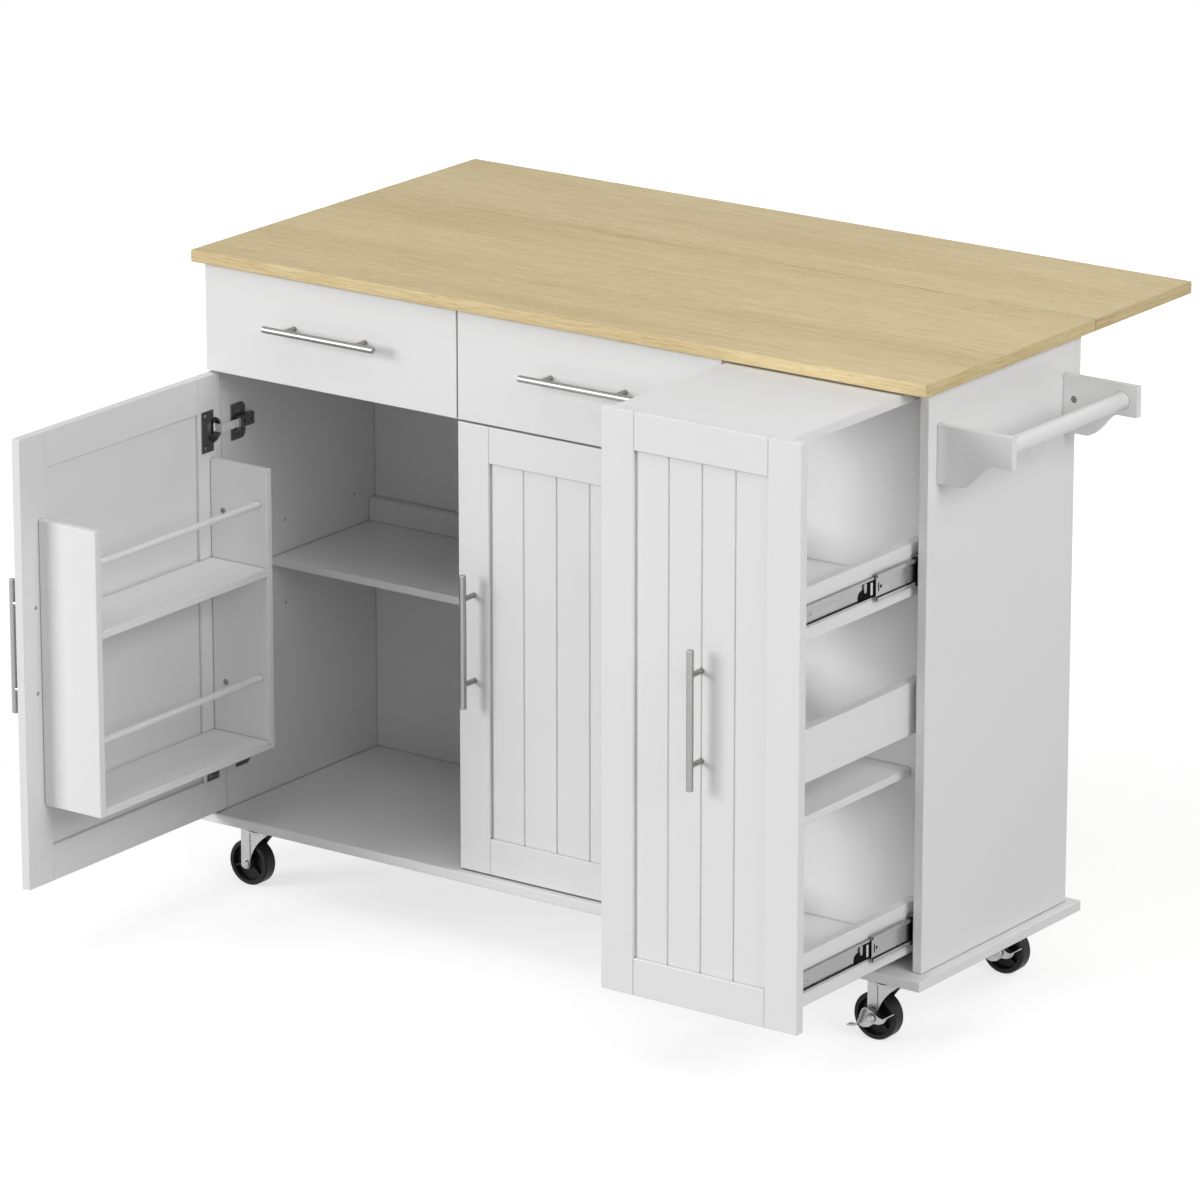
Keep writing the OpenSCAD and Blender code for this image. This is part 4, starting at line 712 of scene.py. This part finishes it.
low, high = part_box("towel_brackets")
carcass_places += [((low.x + TOWEL_CAM_OUT, y, high.z - TOWEL_CAM_DOWN), axis, TOWEL_CAM)
                   for y, axis in ((low.y + TOWEL_CAM_IN, BACK), (high.y - TOWEL_CAM_IN, FRONT))]
screwed("carcass_screws", "carcass", carcass_places)

# On the left door, whose back faces right because it stands open: the cups' flanges, the handle's
# bolts and the rack's cams
FLANGE_ROW = 0.009               # from the far edge of a cup's flange to its screws
CUP_RISES = (-0.024, 0.024)      # of a flange's screws from the middle of the hinge
POSTS = (-0.064, 0.064)          # of a handle, from its middle
RACK_CAM_OUT = 0.023             # from the door's back
RACK_CAM_RISES = (0.088, 0.350)  # from the rack's lower edge

low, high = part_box("left_hinge_cups")
cup_places = [((high.x, low.y + FLANGE_ROW, z + rise), RIGHT, FLANGE_HEAD)
              for z in hinge_zs for rise in CUP_RISES]
screwed("left_cup_screws", "left_door", cup_places, hinge_screw)
handle = middle("left_door_handle")
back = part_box("left_door_frame")[1].x
left_places = [((back, handle.y, handle.z + post), RIGHT, HANDLE_BOLT) for post in POSTS]
low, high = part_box("spice_rack_shelves")
left_places += [((back + RACK_CAM_OUT, y, low.z + rise), axis, RACK_CAM)
                for y, axis in ((high.y, FRONT), (low.y, BACK)) for rise in RACK_CAM_RISES]
screwed("left_door_screws", "left_door", left_places)

# The same on the right door, without a rack
low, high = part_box("right_hinge_cups")
cup_places = [((low.x + FLANGE_ROW, high.y, z + rise), BACK, FLANGE_HEAD)
              for z in hinge_zs for rise in CUP_RISES]
screwed("right_cup_screws", "right_door", cup_places, hinge_screw)
handle = middle("right_door_handle")
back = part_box("right_door_frame")[1].y
right_places = [((handle.x, back, handle.z + post), BACK, HANDLE_BOLT) for post in POSTS]
screwed("right_door_screws", "right_door", right_places)

# On the drawers: the handles' bolts, and the slides' members that hold the boxes
MEMBER_T = 0.0012                # thickness of a member
MEMBER_IN = 0.040                # from a member's ends to its screws

for side in ("left", "right"):
    handle = middle(side + "_drawer_handle")
    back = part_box(side + "_drawer_front")[1].y
    drawer_places = [((handle.x + post, back, handle.z), BACK, HANDLE_BOLT) for post in POSTS]
    low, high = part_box(side + "_drawer_slide_inners")
    rows = (low.y + MEMBER_IN, high.y - MEMBER_IN)
    z = (low.z + high.z) / 2
    low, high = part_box(side + "_drawer_box")
    for x, axis in ((low.x - MEMBER_T, LEFT), (high.x + MEMBER_T, RIGHT)):
        drawer_places += [((x, y, z), axis, SLIDE_HEAD) for y in rows]
    screwed(side + "_drawer_screws", side + "_drawer", drawer_places)

# The same on the pull-out, which has slides at two heights and its handle on the panel
SLIDE_HALF = 0.0225              # half the height of a slide

handle = middle("pullout_handle")
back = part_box("pullout_front_panel")[1].y
pullout_places = [((handle.x, back, handle.z + post), BACK, HANDLE_BOLT) for post in POSTS]
low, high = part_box("pullout_slide_inners")
rows = (low.y + MEMBER_IN, high.y - MEMBER_IN)
low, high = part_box("pullout_slide_outers")
pullout_slide_zs = (low.z + SLIDE_HALF, high.z - SLIDE_HALF)
low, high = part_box("pullout_boards")
for x, axis in ((low.x - MEMBER_T, LEFT), (high.x + MEMBER_T, RIGHT)):
    pullout_places += [((x, y, z), axis, SLIDE_HEAD) for y in rows for z in pullout_slide_zs]
screwed("pullout_screws", "pullout", pullout_places)

# On the stays' legs under the leaf
TOP_LEG_IN = 0.0164              # from a leg's outer side to its screws
TOP_LEG_ROWS = (0.185, 0.100, 0.015)    # from its back end

low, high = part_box("leaf_stay_top_legs")
leaf_places = [((x, high.y - row, high.z - LEG_T), DOWN, STAY_HEAD)
               for x in (low.x + TOP_LEG_IN, high.x - TOP_LEG_IN) for row in TOP_LEG_ROWS]
screwed("leaf_screws", "leaf", leaf_places)

# ---------------------------------------------------------------- black parts of the slides
# Each drawer member of the pull-out's slides holds a moulded black lever with a steel lug, a clip
# and a black stop. A thin black sheet behind the front end of each middle member is painted shade, so
# that its slot and hole read dark.

PULLED_OUT = 0.0957    # how far the middle members stand out of the outer ones
# Depths in mm from the wall to the two faces of each kind of piece
LEVER_DEPTHS, LUG_DEPTHS = (9.3, 11.3), (9.0, 11.2)
STOP_DEPTHS, SHADE_SHEET_DEPTHS = (7.9, 9.1), (7.05, 7.65)
# Outlines in mm, back from the middle member's front end and up from the slide's middle
LEVER_OUTLINE = [(-34, -12), (16, -12), (16, -8), (4, -6), (-4, -3), (-5, 11), (-16, 11),
                 (-16.5, 1), (-27, 1), (-32, -2), (-34, -7)]
LUG_OUTLINE = [(-23.5, -3), (-18, -3), (-17.5, 10), (-19, 11), (-22, 11), (-23.5, 10)]

low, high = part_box("pullout_slide_outers")
pullout_walls = ((low.x, 1), (high.x, -1))    # each with the way to its inside
middle_front = low.y - PULLED_OUT


def flat_pieces(name, body, finish, outline, depths, round_off):
    """A flat piece on the inside of each wall, at both slide heights.

    Its outline, its depths and the rounding of its edges are in mm.
    """
    mesh = bpy.data.meshes.new(name)
    shape = bmesh.new()
    for wall, way in pullout_walls:
        for z in pullout_slide_zs:
            rings = [[shape.verts.new((wall + way * depth / 1000, middle_front + y / 1000,
                                       z + up / 1000)) for y, up in outline] for depth in depths]
            shape.faces.new(rings[0])
            shape.faces.new(rings[1][::-1])
            for i in range(len(outline)):
                j = (i + 1) % len(outline)
                shape.faces.new([rings[0][j], rings[0][i], rings[1][i], rings[1][j]])
    bmesh.ops.recalc_face_normals(shape, faces=shape.faces)
    bmesh.ops.bevel(shape, geom=list(shape.edges), offset=round_off / 1000, segments=2,
                    affect="EDGES")
    shape.to_mesh(mesh)
    shape.free()
    mesh.materials.append(finish)
    piece = bpy.data.objects.new(name, mesh)
    bpy.context.collection.objects.link(piece)
    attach(piece, body)


def block(front, back, half_height):
    """An upright rectangle as an outline."""
    return [(front, -half_height), (back, -half_height), (back, half_height), (front, half_height)]


def moulded(name, sheen, index):
    """Moulded black nylon. sheen and its index of refraction set how much it mirrors."""
    made, tree, shader = fresh_material(name)
    film = put(tree, "ShaderNodeGroup",
               {"Paint": (0.012, 0.012, 0.013, 1), "Shade": 0.4, "Gloss": 0.42, "Peel Size": 900},
               node_tree=paint_film)
    color, normal = rubbed_edges(tree, film.outputs["Color"], (0.05, 0.05, 0.05), 0.0008)
    finished(tree, shader, color, film.outputs["Roughness"], film.outputs["Height"], normal, 0.3,
             0.0001)
    shader.inputs["Specular IOR Level"].default_value = sheen
    shader.inputs["IOR"].default_value = index
    return made


lever_black = moulded("lever_black", sheen=0.08, index=1.15)
flat_pieces("slide_levers", "pullout", lever_black, LEVER_OUTLINE, LEVER_DEPTHS,
            round_off=0.4)
flat_pieces("slide_lugs", "pullout", bright_zinc, LUG_OUTLINE, LUG_DEPTHS,
            round_off=0.4)
flat_pieces("slide_stops", "pullout", lever_black, block(-4.4, -0.3, 11), STOP_DEPTHS,
            round_off=0.2)
# Painted shade: a thin black sheet behind the slot and hole of each middle member
flat_pieces("slide_shade_sheets", "pullout_middles", lever_black, block(0.2, 15.5, 8),
            SHADE_SHEET_DEPTHS, round_off=0.1)
flat_pieces("slide_clips", "pullout", stay_zinc, block(-9.8, -4.6, 9), STOP_DEPTHS,
            round_off=0.3)

# ---------------------------------------------------------------- wheels
# Moulded black nylon wheels with a smooth tread and a ribbed web. They mirror more than the
# levers of the slides do.

moulded_black = moulded("moulded_black", sheen=0.22, index=1.5)
dress(["front_left_wheel", "front_right_wheel", "back_left_wheel", "back_right_wheel"], moulded_black)
